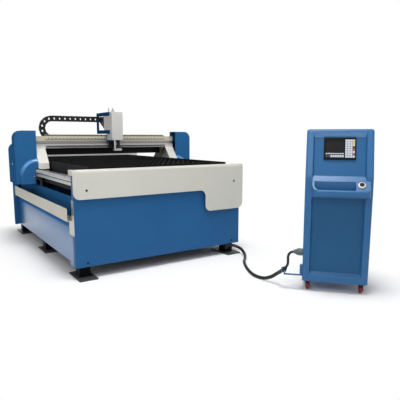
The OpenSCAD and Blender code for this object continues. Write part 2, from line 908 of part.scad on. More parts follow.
module trough_bracket() {
    y0 = -half_d + front_edge_r;
    z1 = trough_z + trough_h / 2;
    color("#e9e7e2") difference() {
        slab([-half_w - bracket_t, y0, z1 - bracket_h], [-half_w, y0 + bracket_l, z1]);
        slab([-half_w - trough_out - over, -half_d + post_setback, trough_z],
            [over - half_w, half_d, z1 + over]);
        for (k = [1, 2])
            translate([-half_w - bracket_t - over, y0 + post_setback / 3, z1 - k * bracket_h / 3])
                rotate([0, 90, 0]) cylinder(d = slot_d, h = bracket_t + 2 * over);
    }
    color("#a9abae") difference() {
        slab([-half_w - bracket_t, y0, z1 + bracket_t], [-half_w, y0 + flange_w, z1 + bracket_t + flange_h]);
        slab([-half_w - trough_out - over, -half_d + post_setback, trough_z],
            [over - half_w, half_d, z1 + flange_h * 2]);
        for (k = [1, 3])
            translate([-half_w - bracket_t - over, y0 + post_setback / 3, z1 + bracket_t + k * flange_h / 4])
                rotate([0, 90, 0]) cylinder(d = slot_d, h = bracket_t + 2 * over);
    }
}

module panel_screws() {
    face_y = -half_d - apron_out;
    color("#151517") for (s = [-1, 1]) {
        translate([s * screw_x, -half_d, panel_screw_z]) rotate([90, 0, 0])
            cylinder(d = screw_head_d, h = screw_head_h);
        for (m = [0, 1]) mirror([0, m, 0]) translate([s * screw_x, 0, apron_screw_z]) rotate([90, 0, 0]) {
            translate([0, 0, -face_y]) cylinder(d = screw_head_d, h = screw_head_h);
            translate([0, 0, half_d]) cylinder(d = stud_d, h = apron_out);
        }
    }
}

module cable_gland() {
    p = conduit_route[0];
    color("#161618") difference() {
        union() {
            slab([p.x - gland_l, p.y - gland_w / 2, p.z - gland_h / 2],
                [p.x - gland_l / 2, p.y + gland_w / 2, skirt_z]);
            translate([p.x - gland_l, p.y, p.z]) rotate([0, 90, 0]) cylinder(d = gland_h, h = gland_l);
        }
        translate([p.x - gland_l / 2, p.y, p.z]) rotate([0, 90, 0])
            cylinder(d = conduit_d * gland_bore_share, h = gland_l);
    }
}

// Gantry
module leg_outline(inset) {
    slope = (leg_foot_half - leg_head_half) / (leg_h - leg_foot_h);
    z0 = leg_low_z + inset;
    z1 = leg_low_z + leg_foot_h;
    z2 = leg_top_z - inset;
    foot = leg_foot_half - inset;
    head = leg_head_half - inset + slope * inset;
    polygon([[-foot, z0], [foot, z0], [foot, z1], [head, z2], [-head, z2], [-foot, z1]]);
}

module gantry_legs() {
    color("#e4e2dc") translate([0, gantry_y, 0]) both() {
        difference() {
            along_x(leg_in_x, leg_out_x) leg_outline(0);
            along_x(leg_in_x - over, leg_out_x - leg_t) leg_outline(leg_t);
        }
        difference() {
            slab([leg_out_x, -shelf_half, shelf_z], [leg_out_x + shelf_w, shelf_half, shelf_z + shelf_t]);
            translate([y_pinion_x, 0, shelf_z - over]) cylinder(d = shaft_d + gear_m, h = shelf_t + 2 * over);
        }
    }
}

module beam_outline() {
    y0 = -beam_front;
    difference() {
        translate([y0, beam_low_z]) square([beam_d, beam_h]);
        for (s = [0, 1])
            translate([y0 + beam_wall + s * (beam_d - beam_wall) / 2, beam_low_z + beam_wall + beam_groove_d])
                square([(beam_d - 3 * beam_wall) / 2, beam_h - 2 * (beam_wall + beam_groove_d)]);
        for (z = [beam_low_z + beam_h / 2, beam_low_z + beam_h / 2 - 2 * beam_groove_w])
            translate([y0 - over, z]) square([beam_groove_d + over, beam_groove_w]);
    }
}

module gantry_beam() {
    color("#a8abad") translate([0, gantry_y, 0]) along_x(-beam_half, beam_half) beam_outline();
}

module beam_rails() {
    depth = rack_h - addendum - dedendum;
    color("#d5d2c4") translate([0, gantry_y, 0]) {
        for (z = [x_guide_low_z, x_guide_high_z])
            slab([-x_guide_half, -beam_front - x_guide_h, z - x_guide_w / 2],
                [x_guide_half, -beam_front, z + x_guide_w / 2]);
        translate([carriage_x, -x_rack_front + rack_w, beam_top_z + rack_h - addendum]) rotate([90, 0, 0])
            linear_extrude(height = rack_w)
                rack_teeth(-x_guide_half - carriage_x, x_guide_half - carriage_x, depth);
    }
}

module tie_plate() {
    z0 = beam_low_z - tie_drop;
    color("#18181a") translate([0, gantry_y, 0]) {
        slab([-tie_half, tie_y, z0], [tie_half, tie_y + tie_t, beam_top_z]);
        slab([-tie_half, tie_y, chain_low_z - tie_t], [tie_half, chain_y + chain_w + shelf_lip, chain_low_z]);
    }
}

// Rounded outline of a cover's front, from its inner edge outwards
module cover_face(top_z, inset) {
    w = cover_w - inset;
    r = cover_r - inset;
    z1 = top_z - inset;
    translate([cover_in_x - (inset > 0 ? over : 0), cover_low_z - (inset > 0 ? over : 0)]) {
        h = z1 - cover_low_z + (inset > 0 ? over : 0);
        d = w + (inset > 0 ? over : 0);
        square([d - r, h]);
        square([d, h - r]);
        translate([d - r, h - r]) circle(r = r);
    }
}

module fender_face(inset) {
    r = fender_r - inset;
    intersection() {
        union() {
            translate([cover_in_x, fender_z]) circle(r = r);
            translate([cover_in_x, cover_low_z - over]) square([r, fender_z - cover_low_z + over]);
        }
        translate([cover_in_x - (inset > 0 ? over : 0), cover_low_z - (inset > 0 ? over : 0)])
            square([r + over, fender_r * 2]);
    }
}

module cover() {
    difference() {
        union() {
            along_y(-cover_front, -cover_split) cover_face(cover_top_z, 0);
            along_y(-cover_front, cover_back) cover_face(cover_step_z, 0);
            along_y(-cover_front - fender_out, -cover_front) fender_face(0);
        }
        along_y(-cover_front + sheet_t, -cover_split - sheet_t) cover_face(cover_top_z, sheet_t);
        along_y(-cover_front + sheet_t, cover_back - sheet_t) cover_face(cover_step_z, sheet_t);
        along_y(-cover_front - fender_out + sheet_t, -cover_front + sheet_t + over) fender_face(sheet_t);
        slab([cover_in_x - over, -cover_front - fender_out - over, cover_low_z - over],
            [cover_notch_x, cover_back + over, cover_notch_z]);
    }
}

module left_cover() {
    color("#2f619c") translate([0, gantry_y, 0]) mirror([1, 0, 0]) cover();
}

module right_cover() {
    color("#2f619c") translate([0, gantry_y, 0]) cover();
}

module guide_blocks() {
    color("#8f9295") translate([0, gantry_y, 0]) both() for (y = [-block_place, block_place]) difference() {
        slab([guide_x - block_w / 2, y - block_l / 2, block_low_z],
            [guide_x + block_w / 2, y + block_l / 2, leg_low_z]);
        slab([guide_x - guide_w / 2 - slide_gap, y - block_l / 2 - over, block_low_z - over],
            [guide_x + guide_w / 2 + slide_gap, y + block_l / 2 + over, guide_top_z + slide_gap]);
    }
}

module y_motors() {
    z0 = shelf_z + shelf_t;
    color("#2a2b2e") translate([0, gantry_y, 0]) both() translate([y_pinion_x, 0, z0]) difference() {
        union() {
            slab([-gearbox_w / 2, -gearbox_w / 2, 0], [gearbox_w / 2, gearbox_w / 2, gearbox_h]);
            slab([-motor_w / 2, -motor_w / 2, gearbox_h], [motor_w / 2, motor_w / 2, gearbox_h + motor_h]);
        }
        translate([0, 0, -over]) cylinder(d = shaft_d + 2 * run_gap, h = shaft_depth + over);
    }
}

module y_pinion() {
    z0 = shelf_z + shelf_t + shaft_depth - slide_gap;
    translate([y_pinion_x, 0, 0]) {
        translate([0, 0, y_pinion_z]) rotate([0, 0, -90])
            linear_extrude(height = pinion_h) pinion_teeth_outline();
        translate([0, 0, y_pinion_z]) cylinder(d = shaft_d, h = z0 - y_pinion_z);
    }
}

module left_pinion() {
    color("#77797c") translate([0, gantry_y, 0]) mirror([1, 0, 0]) y_pinion();
}

module right_pinion() {
    color("#77797c") translate([0, gantry_y, 0]) y_pinion();
}

// Drag chain: hollow links with a row of round holes through both sides
module chain_run(x0, x1, z0) {
    n = floor((x1 - x0) / chain_pitch);
    rest = (x1 - x0 - (n - 1) * chain_pitch) / 2;
    difference() {
        slab([x0, chain_y, z0], [x1, chain_y + chain_w, z0 + chain_h]);
        slab([x0 - over, chain_y + chain_wall, z0 + chain_wall],
            [x1 + over, chain_y + chain_w - chain_wall, z0 + chain_h - chain_wall]);
        for (i = [0 : n - 1]) translate([x0 + rest + i * chain_pitch, chain_y - over, z0 + chain_h / 2])
            rotate([-90, 0, 0]) cylinder(d = chain_hole_d, h = chain_w + 2 * over);
    }
}

module chain_bend(a0) {
    links = 3;
    step = 90 / links;
    translate([chain_bend_x, chain_y + chain_w, chain_mid_z + chain_r]) rotate([90, 0, 0]) difference() {
        rotate([0, 0, a0]) rotate_extrude(angle = 90) difference() {
            translate([chain_r - chain_h / 2, 0]) square([chain_h, chain_w]);
            translate([chain_r - chain_h / 2 + chain_wall, chain_wall])
                square([chain_h - 2 * chain_wall, chain_w - 2 * chain_wall]);
        }
        for (i = [0 : links - 1]) rotate([0, 0, a0 + step * (i + 0.5)]) translate([chain_r, 0, -over])
            cylinder(d = chain_hole_d, h = chain_w + 2 * over);
    }
}

module chain_lower_run() {
    color("#1b1b1d") translate([0, gantry_y, 0]) chain_run(chain_bend_x, chain_fix_x, chain_low_z);
}

module chain_lower_bend() {
    color("#1b1b1d") translate([0, gantry_y, 0]) chain_bend(180);
}

module chain_upper_bend() {
    color("#1b1b1d") translate([0, gantry_y, 0]) chain_bend(90);
}

module chain_upper_run() {
    color("#1b1b1d") translate([0, gantry_y, 0])
        chain_run(chain_bend_x, head_left - bracket_plate_t, chain_high_z);
}

// Torch head
module carriage_plate() {
    color("#2f619c") translate([carriage_x, gantry_y, 0]) {
        difference() {
            union() {
                slab([-head_w / 2, -plate_front, plate_step_z], [head_w / 2, -plate_back, plate_top_z]);
                slab([-x_block_l / 2, -plate_front, plate_low_z], [x_block_l / 2, -plate_back, plate_top_z]);
            }
            translate([0, -plate_back + over, x_pinion_z]) rotate([90, 0, 0])
                cylinder(d = shaft_d + gear_m, h = plate_t + 2 * over);
        }
        for (z = [x_guide_low_z, x_guide_high_z]) difference() {
            slab([-x_block_l / 2, -plate_back, z - x_block_w / 2],
                [x_block_l / 2, -beam_front - x_block_gap, z + x_block_w / 2]);
            slab([-x_block_l / 2 - over, -beam_front - x_guide_h - slide_gap, z - x_guide_w / 2 - slide_gap],
                [x_block_l / 2 + over, -beam_front, z + x_guide_w / 2 + slide_gap]);
        }
    }
}

module chain_bracket() {
    x0 = head_left - bracket_plate_t;
    boot_low = chain_high_z + boot_gap;
    boot_top = chain_high_z + chain_h - boot_gap;
    boot_end = chain_y + chain_w;
    color("#2f619c") translate([0, gantry_y, 0]) along_x(x0, head_left) difference() {
        translate([-bracket_front, bracket_low_z])
            square([bracket_front + bracket_back, bracket_top_z - bracket_low_z]);
        translate([-bracket_front - over, bracket_low_z + bracket_arm])
            square([bracket_front + bracket_back - bracket_post + over,
                bracket_top_z - bracket_low_z - 2 * bracket_arm]);
    }
    color("#18181a") translate([0, gantry_y, 0]) along_x(head_left, head_left + boot_w)
        polygon([[-head_rear_back, boot_low - boot_drop], [chain_y, boot_low], [boot_end, boot_low],
            [boot_end, boot_top], [-head_rear_back, boot_top]]);
}

module head_motors() {
    color("#2a2b2e") translate([carriage_x, gantry_y, 0]) {
        difference() {
            slab([-x_motor_w / 2, -plate_front - x_motor_l, x_pinion_z - x_motor_w / 2],
                [x_motor_w / 2, -plate_front, x_pinion_z + x_motor_w / 2]);
            translate([0, -plate_front + over, x_pinion_z]) rotate([90, 0, 0])
                cylinder(d = shaft_d + 2 * run_gap, h = shaft_depth + over);
        }
        difference() {
            slab([-z_motor_w / 2, -screw_y - z_motor_w / 2, z_motor_z],
                [z_motor_w / 2, -screw_y + z_motor_w / 2, z_motor_z + z_motor_h]);
            translate([0, -screw_y, z_motor_z - over])
                cylinder(d = screw_d + 2 * run_gap, h = shaft_depth + over);
        }
    }
}

module x_pinion() {
    color("#77797c") translate([carriage_x, gantry_y, x_pinion_z]) rotate([90, 0, 0]) {
        translate([0, 0, x_pinion_front - pinion_h]) linear_extrude(height = pinion_h) pinion_teeth_outline();
        translate([0, 0, x_pinion_front - pinion_h])
            cylinder(d = shaft_d, h = plate_front + shaft_depth - slide_gap - x_pinion_front + pinion_h);
    }
}

module head_housing() {
    w = head_w / 2;
    color("#b4b5b2") translate([carriage_x, gantry_y, 0]) difference() {
        union() {
            slab([-w, -head_front, head_low_z], [w, -plate_front, head_top_z]);
            slab([-w, -plate_back, head_rear_z], [w, -head_rear_back, head_rear_top_z]);
            slab([-w, -plate_front, plate_top_z], [w, -head_rear_back, head_rear_top_z]);
            translate([-w / 2, -plate_back, head_rear_top_z]) cylinder(d = fitting_d, h = fitting_h);
            slab([0, -plate_front, head_rear_top_z],
                [fitting_w, -plate_front + fitting_d, head_rear_top_z + fitting_h]);
        }
        slab([-w + head_t, -head_front + head_t, head_low_z + head_floor_t],
            [w - head_t, -plate_front + over, head_top_z - head_t]);
        slab([-w + head_t, -plate_back - over, head_rear_z - over],
            [w - head_t, -head_rear_back - head_t, head_rear_top_z - head_t]);
        slab([-w + head_t, -plate_front - over, plate_top_z - over],
            [w - head_t, -head_rear_back - head_t, head_rear_top_z - head_t]);
        for (s = [-1, 1]) translate([s * rod_dx, -screw_y, head_low_z - over])
            cylinder(d = rod_d + 2 * run_gap, h = head_floor_t + 2 * over);
        translate([torch_dx, -screw_y + clamp_d, head_low_z - over])
            cylinder(d = torch_hole_d, h = head_floor_t + 2 * over);
    }
}

module lift_screw() {
    color("#9a9da1") translate([carriage_x, gantry_y - screw_y, screw_low_z])
        cylinder(d = screw_d, h = z_motor_z + shaft_depth - slide_gap - screw_low_z);
}

module lift_slide() {
    color("#c9cbcd") translate([carriage_x, gantry_y - screw_y, 0]) {
        difference() {
            slab([-nut_w / 2, -nut_d / 2, nut_z], [nut_w / 2, nut_d / 2, nut_z + nut_h]);
            translate([0, 0, nut_z - over]) cylinder(d = screw_d + 2 * run_gap, h = nut_h + 2 * over);
        }
        for (s = [-1, 1]) translate([s * rod_dx, 0, rod_low_z])
            cylinder(d = rod_d, h = nut_z + over - rod_low_z);
    }
}

module torch_clamp() {
    color("#d6d8d9") translate([carriage_x, gantry_y - screw_y, clamp_z]) difference() {
        union() {
            slab([-rod_dx - rod_d, -clamp_d / 2, 0], [rod_dx + rod_d, clamp_d / 2, clamp_h]);
            slab([torch_dx - clamp_d / 2, 0, 0], [torch_dx + clamp_d / 2, clamp_d + clamp_d / 2, clamp_h]);
        }
        for (s = [-1, 1]) translate([s * rod_dx, 0, -over])
            cylinder(d = rod_d + 2 * run_gap, h = clamp_h + 2 * over);
        translate([torch_dx, clamp_d, -over]) cylinder(d = torch_d + 2 * run_gap, h = clamp_h + 2 * over);
    }
}

module torch() {
    top = torch_top_z - torch_tip_z;
    color("#1a1a1c") translate([carriage_x + torch_dx, gantry_y - screw_y + clamp_d, torch_tip_z])
        rotate_extrude()
            polygon([[0, 0], [tip_d / 2, 0], [torch_d / 2, tip_h], [torch_d / 2, top], [0, top]]);
}

// Console
module console_at() {
    translate([console_x, console_y, 0]) rotate([0, 0, console_turn]) children();
}

module console_outline(front, wall) {
    z0 = console_low_z + (wall > 0 ? console_floor : 0);
    z1 = console_top_z - wall;
    polygon([[face_at(z0) + front, z0], [face_mid + front, face_mid_z], [face_mid + front, face_break_z],
        [face_at(z1) + front, z1], [console_back - wall, z1], [console_back - wall, z0]]);
}

module console_shell() {
    color("#3a6aa2") console_at() difference() {
        along_x(-half_console, half_console) console_outline(0, 0);
        along_x(-half_console + console_wall, half_console - console_wall)
            console_outline(border_d, console_wall);
        slab([-window_half, face_mid - over, window_low_z], [window_half, face_top + border_d, window_mid_z]);
        slab([-window_half, face_mid - over, shelf_low_z + panel_lap],
            [window_half, face_top + border_d + over, window_top_z]);
        slab([-half_console + rear_border, console_back - console_wall - over,
                console_low_z + console_floor + rear_border],
            [half_console - rear_border, console_back + over, console_top_z - rear_border]);
        for (x = [-1, 1], y = [caster_front, caster_rear])
            translate([x * (half_console - caster_inset), y, console_low_z - over])
                cylinder(d = king_d + 2 * run_gap, h = console_floor + 2 * over);
    }
}

// A front panel sheet that lies against the back of the border
module face_sheet(z0, z1) {
    along_x(-window_half - panel_lap, window_half + panel_lap) polygon([
        [face_at(z0) + border_d, z0], [face_at(z1) + border_d, z1],
        [face_at(z1) + border_d + panel_t, z1], [face_at(z0) + border_d + panel_t, z0]]);
}

module console_panels() {
    color("#39689f") console_at() {
        face_sheet(window_low_z - panel_lap, window_mid_z + panel_lap);
        face_sheet(shelf_high_z, window_top_z + panel_lap);
    }
}

module console_back_panel() {
    x = half_console - rear_border / 2;
    color("#345f93") console_at() slab([-x, console_back, console_low_z + console_floor],
        [x, console_back + panel_t, console_top_z - rear_border / 2]);
}

module armrest() {
    lip = -armrest_out;
    top_back = face_at(shelf_high_z) + border_d;
    floor_z = shelf_low_z + panel_lap + pocket_t;
    color("#3d70ab") console_at() difference() {
        union() {
            along_x(-window_half, half_console - rear_border) {
                polygon([[lip + lip_r, shelf_low_z], [face_mid, shelf_low_z], [face_mid, rest_back_z],
                    [lip + lip_r, lip_z]]);
                translate([lip, shelf_low_z + lip_r]) square([2 * lip_r, lip_z - shelf_low_z - 2 * lip_r]);
                for (z = [shelf_low_z + lip_r, lip_z - lip_r]) translate([lip + lip_r, z]) circle(r = lip_r);
            }
            along_x(-window_half, window_half) polygon([[face_mid, shelf_low_z + panel_lap],
                [face_mid + border_d, shelf_low_z + panel_lap], [face_mid + border_d, face_break_z],
                [top_back, shelf_high_z], [face_mid, rest_back_z]]);
        }
        slab([-window_half + lip_r, lip + lip_r, floor_z], [pocket_right, face_mid - pocket_t, rest_back_z]);
    }
}

// A place on the leaning upper panel, with +Y into the panel
module on_upper(z) {
    console_at() translate([0, face_at(z) + border_d, z]) rotate([-lean, 0, 0]) children();
}

module control_panel() {
    color("#141518") on_upper(control_mid_z) difference() {
        slab([-control_w / 2, -control_t, -control_h / 2], [control_w / 2, 0, control_h / 2]);
        slab([screen_dx - screen_w / 2, -control_t - over, screen_dz - screen_h / 2],
            [screen_dx + screen_w / 2, -control_t + screen_t, screen_dz + screen_h / 2]);
    }
}

module screen() {
    color("#2b2f36") on_upper(control_mid_z)
        slab([screen_dx - screen_w / 2, -control_t, screen_dz - screen_h / 2],
            [screen_dx + screen_w / 2, -control_t + screen_t, screen_dz + screen_h / 2]);
}

// A place on the sloped top of the armrest's right block, with +Z out of the slope
module on_rest() {
    slope = atan((rest_back_z - lip_z) / (face_mid + armrest_out - lip_r));
    mid_y = (face_mid - armrest_out + lip_r) / 2;
    console_at() translate([button_x, mid_y, (rest_back_z + lip_z) / 2]) rotate([slope, 0, 0]) children();
}

module stop_base() {
    color("#d9d9d6") on_rest() difference() {
        cylinder(d = button_base_d, h = button_base_h);
        translate([0, 0, button_base_floor]) cylinder(d = button_neck_d + 2 * run_gap, h = button_base_h);
    }
}

module stop_button() {
    rest = button_travel + slide_gap;
    color("#1d1d1f") on_rest() {
        translate([0, 0, button_base_h + rest]) cylinder(d = button_d, h = button_cap_h);
        translate([0, 0, button_base_floor + rest])
            cylinder(d = button_neck_d, h = button_base_h - button_base_floor + over);
    }
}

module drive_box() {
    color("#55585c") console_at() slab([-drive_w / 2, console_back - drive_d, drive_z],
        [drive_w / 2, console_back, drive_z + drive_h]);
}

module plug_hood() {
    color("#5e6669") console_at() translate([-half_console, plug_y, plug_z]) rotate([0, -90, 0])
        rotate_extrude() polygon([[0, 0], [plug_h / 2, 0], [plug_h / 2, plug_l / 2],
            [cable_d * plug_neck_share, plug_l], [0, plug_l]]);
}

module cable_arm() {
    p = conduit_route[len(conduit_route) - 2];
    q = conduit_route[len(conduit_route) - 1];
    o = conduit_route[len(conduit_route) - 3];
    v = q - o;
    w = unit(v);
    ring_r = conduit_d / 2 + ring_gap + ring_t / 2;
    foot = p + ring_r * unit([w.x * w.z, w.y * w.z, w.z * w.z - 1]);
    color("#3f73ad") {
        console_at() {
            slab([-half_console - arm_reach, arm_y - arm_w / 2, arm_z - arm_t / 2],
                [-half_console, arm_y + arm_w / 2, arm_z + arm_t / 2]);
            slab([-half_console - arm_w, arm_y - arm_w / 2, arm_z - arm_t / 2],
                [-half_console, arm_y - arm_w / 2 + arm_foot_l, arm_z + arm_foot_h]);
        }
        translate(p) rotate([0, acos(v.z / norm(v)), atan2(v.y, v.x)]) rotate_extrude()
            translate([ring_r, 0]) circle(d = ring_t);
        translate([foot.x, foot.y, arm_z]) cylinder(d = arm_rod_d, h = foot.z - arm_z);
    }
}

// Casters
module fork(x, y) {
    top_z = console_low_z - slide_gap;
    axle_z = wheel_d / 2;
    cheek_x = wheel_w / 2 + cheek_gap;
    color("#3a1c1d") console_at() translate([x * (half_console - caster_inset), y, 0]) {
        translate([0, 0, top_z - over]) cylinder(d = king_d, h = console_floor + over);
        translate([0, 0, top_z - head_disc_h]) cylinder(r = head_disc_r, h = head_disc_h);
        for (s = [-1, 1]) translate([s * (cheek_x + cheek_t / 2), 0, 0])
            slab([-cheek_t / 2, -cheek_w / 2 + caster_trail / 2, axle_z - axle_d],
                [cheek_t / 2, cheek_w / 2 + caster_trail / 2, top_z - head_disc_h + over]);
        translate([-cheek_x - over, caster_trail, axle_z]) rotate([0, 90, 0])
            cylinder(d = axle_d, h = 2 * (cheek_x + over));
    }
}

module wheel(x, y) {
    left = x * (half_console - caster_inset) - wheel_w / 2;
    color("#8e2a24") console_at() translate([left, y + caster_trail, wheel_d / 2]) rotate([0, 90, 0])
        difference() {
            cylinder(d = wheel_d, h = wheel_w);
            translate([0, 0, -over]) cylinder(d = axle_d + 2 * run_gap, h = wheel_w + 2 * over);
        }
}

module fork_front_left() {
    fork(-1, caster_front);
}

module fork_front_right() {
    fork(1, caster_front);
}

module fork_rear_left() {
    fork(-1, caster_rear);
}

module fork_rear_right() {
    fork(1, caster_rear);
}

module wheel_front_left() {
    wheel(-1, caster_front);
}

module wheel_front_right() {
    wheel(1, caster_front);
}

module wheel_rear_left() {
    wheel(-1, caster_rear);
}

module wheel_rear_right() {
    wheel(1, caster_rear);
}

// Conduit and cable, each one tube swept along its smoothed route
function spline(p, i, t) =
    let (a = p[max(i - 1, 0)], b = p[i], c = p[i + 1], d = p[min(i + 2, len(p) - 1)])
    0.5 * (2 * b + (c - a) * t + (2 * a - 5 * b + 4 * c - d) * t * t + (3 * b - a - 3 * c + d) * t * t * t);
function smooth(p) = concat(
    [for (i = [0 : len(p) - 2], k = [0 : route_steps - 1]) spline(p, i, k / route_steps)],
    [p[len(p) - 1]]);
function unit(v) = v / norm(v);
function heading(q, i) = unit(q[min(i + 1, len(q) - 1)] - q[max(i - 1, 0)]);

module sweep(q, d) {
    n = len(q);
    sides = route_sides;
    rings = [for (i = [0 : n - 1])
        let (h = heading(q, i), s = unit(cross(h, [0, 0, 1])), u = cross(s, h))
        for (k = [0 : sides - 1]) q[i] + d / 2 * (cos(360 * k / sides) * s + sin(360 * k / sides) * u)];
    faces = concat([[for (k = [0 : sides - 1]) k]],
        [for (i = [0 : n - 2], k = [0 : sides - 1]) each
            let (a = i * sides + k, b = i * sides + (k + 1) % sides, c = a + sides, e = b + sides)
            [[a, c, b], [b, c, e]]],
        [[for (k = [sides - 1 : -1 : 0]) (n - 1) * sides + k]]);
    polyhedron(points = rings, faces = faces, convexity = 4);
}

module conduit() {
    color("#1c1c1e") sweep(smooth(conduit_route), conduit_d);
}

module console_cable() {
    color("#1c1c1e") sweep(smooth(cable_route), cable_d);
}

floor_pads();
frame_posts();
frame_rails();
front_panel();
side_panels();
rear_housing();
front_apron();
rear_apron();
bed_tray();
slats();
rail_beams();
table_rails();
chain_trough();
trough_bracket();
panel_screws();
cable_gland();
gantry_legs();
gantry_beam();
beam_rails();
tie_plate();
left_cover();
right_cover();
guide_blocks();
y_motors();
left_pinion();
right_pinion();
chain_lower_run();
chain_lower_bend();
chain_upper_bend();
chain_upper_run();
carriage_plate();
chain_bracket();
head_motors();
x_pinion();
head_housing();
lift_screw();
lift_slide();
torch_clamp();
torch();
console_shell();
console_panels();
console_back_panel();
armrest();
control_panel();
screen();
stop_base();
stop_button();
plug_hood();
cable_arm();
drive_box();
fork_front_left();
fork_front_right();
fork_rear_left();
fork_rear_right();
wheel_front_left();
wheel_front_right();
wheel_rear_left();
wheel_rear_right();
conduit();
console_cable();
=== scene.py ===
import json
import math

import bmesh
import bpy
from mathutils import Matrix, Vector

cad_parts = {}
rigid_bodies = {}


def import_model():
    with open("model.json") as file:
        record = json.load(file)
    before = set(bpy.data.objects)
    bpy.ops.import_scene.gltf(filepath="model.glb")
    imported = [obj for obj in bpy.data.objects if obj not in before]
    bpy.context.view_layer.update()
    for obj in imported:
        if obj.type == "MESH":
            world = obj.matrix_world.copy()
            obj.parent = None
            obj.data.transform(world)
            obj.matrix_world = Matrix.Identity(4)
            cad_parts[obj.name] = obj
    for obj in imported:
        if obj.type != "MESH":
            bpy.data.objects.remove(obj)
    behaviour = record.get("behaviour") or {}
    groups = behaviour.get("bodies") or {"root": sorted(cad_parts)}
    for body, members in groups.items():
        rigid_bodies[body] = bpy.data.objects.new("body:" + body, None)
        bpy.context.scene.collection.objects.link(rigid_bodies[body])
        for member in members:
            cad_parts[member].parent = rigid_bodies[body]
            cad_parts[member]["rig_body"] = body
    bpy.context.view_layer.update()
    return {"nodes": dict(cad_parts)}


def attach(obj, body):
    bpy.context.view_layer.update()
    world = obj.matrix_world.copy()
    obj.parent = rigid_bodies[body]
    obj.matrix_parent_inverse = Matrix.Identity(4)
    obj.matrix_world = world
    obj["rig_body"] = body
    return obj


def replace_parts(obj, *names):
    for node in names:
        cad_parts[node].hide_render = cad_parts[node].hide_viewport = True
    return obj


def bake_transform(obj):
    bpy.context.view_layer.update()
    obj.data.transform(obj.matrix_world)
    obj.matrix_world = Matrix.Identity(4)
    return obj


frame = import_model()
nodes = frame["nodes"]
scene = bpy.context.scene
scene.view_settings.view_transform = "Standard"

# Shapes are drawn in millimetres and scaled to metres when a piece is made
# Camera, lamps, heights in finishes and places of CAD faces are in metres
MM = 0.001
TO_METRES = Matrix.Scale(MM, 4)


def shift(x, y, z):
    return Matrix.Translation((x, y, z))


def turn(degrees, axis):
    return Matrix.Rotation(math.radians(degrees), 4, axis)


# Camera
cam_data = bpy.data.cameras.new("camera")
cam_data.lens = 39.23
cam_data.sensor_width = 36.0
cam_data.clip_end = 300.0
camera = bpy.data.objects.new("camera", cam_data)
camera.location = (-1.9646, -4.7438, 1.200)
camera.rotation_euler = (math.radians(81.88), 0.0, math.radians(-33.61))
scene.collection.objects.link(camera)
scene.camera = camera


# Colours and materials
MIX_FACTOR, MIX_A, MIX_B, MIX_RESULT = 0, 6, 7, 2
DRIFT_DETAIL, DRIFT_LOW, DRIFT_HIGH = 4.0, 0.3, 0.7
# Scuffs in a second colour: scuffs on the trough, painted glints on the slats
SCUFF_GLINT_SCALE, SCUFF_GLINT_DETAIL, SCUFF_GLINT_ROUGH = 38.0, 8.0, 0.7
SCUFF_GLINT_LOW, SCUFF_GLINT_HIGH = 0.66, 0.78
GRAIN_DETAIL, GRAIN_LOW, GRAIN_HIGH = 2.0, 0.2, 0.8
BUMP_DEPTH = 0.001
COAT_ROUGHNESS = 0.25


def srgb(r, g, b):
    def linear(c):
        c /= 255.0
        return c / 12.92 if c <= 0.04045 else ((c + 0.055) / 1.055) ** 2.4

    return (linear(r), linear(g), linear(b), 1.0)


def shade_of(color, k):
    return (min(color[0] * k, 1.0), min(color[1] * k, 1.0), min(color[2] * k, 1.0), 1.0)


def noise(nt, vector, scale, detail, rough=0.55):
    n = nt.nodes.new("ShaderNodeTexNoise")
    n.inputs["Scale"].default_value = scale
    n.inputs["Detail"].default_value = detail
    n.inputs["Roughness"].default_value = rough
    nt.links.new(vector, n.inputs["Vector"])
    return n.outputs["Fac"]


def ramp(nt, fac, low, high):
    """A colour ramp between two (position, colour) stops."""
    r = nt.nodes.new("ShaderNodeValToRGB")
    for stop, (at, color) in zip(r.color_ramp.elements, (low, high)):
        stop.position = at
        stop.color = color
    nt.links.new(fac, r.inputs["Fac"])
    return r.outputs["Color"]


def span(nt, value, low, high, to_low, to_high):
    m = nt.nodes.new("ShaderNodeMapRange")
    for key, v in (("From Min", low), ("From Max", high), ("To Min", to_low), ("To Max", to_high)):
        m.inputs[key].default_value = v
    nt.links.new(value, m.inputs["Value"])
    return m.outputs["Result"]


def mix(nt, fac, a, b):
    m = nt.nodes.new("ShaderNodeMix")
    m.data_type = "RGBA"
    for index, v in ((MIX_FACTOR, fac), (MIX_A, a), (MIX_B, b)):
        if isinstance(v, tuple):
            m.inputs[index].default_value = v
        else:
            nt.links.new(v, m.inputs[index])
    return m.outputs[MIX_RESULT]


def height_of(nt, coord):
    split = nt.nodes.new("ShaderNodeSeparateXYZ")
    nt.links.new(coord.outputs["Object"], split.inputs[0])
    return split.outputs["Z"]


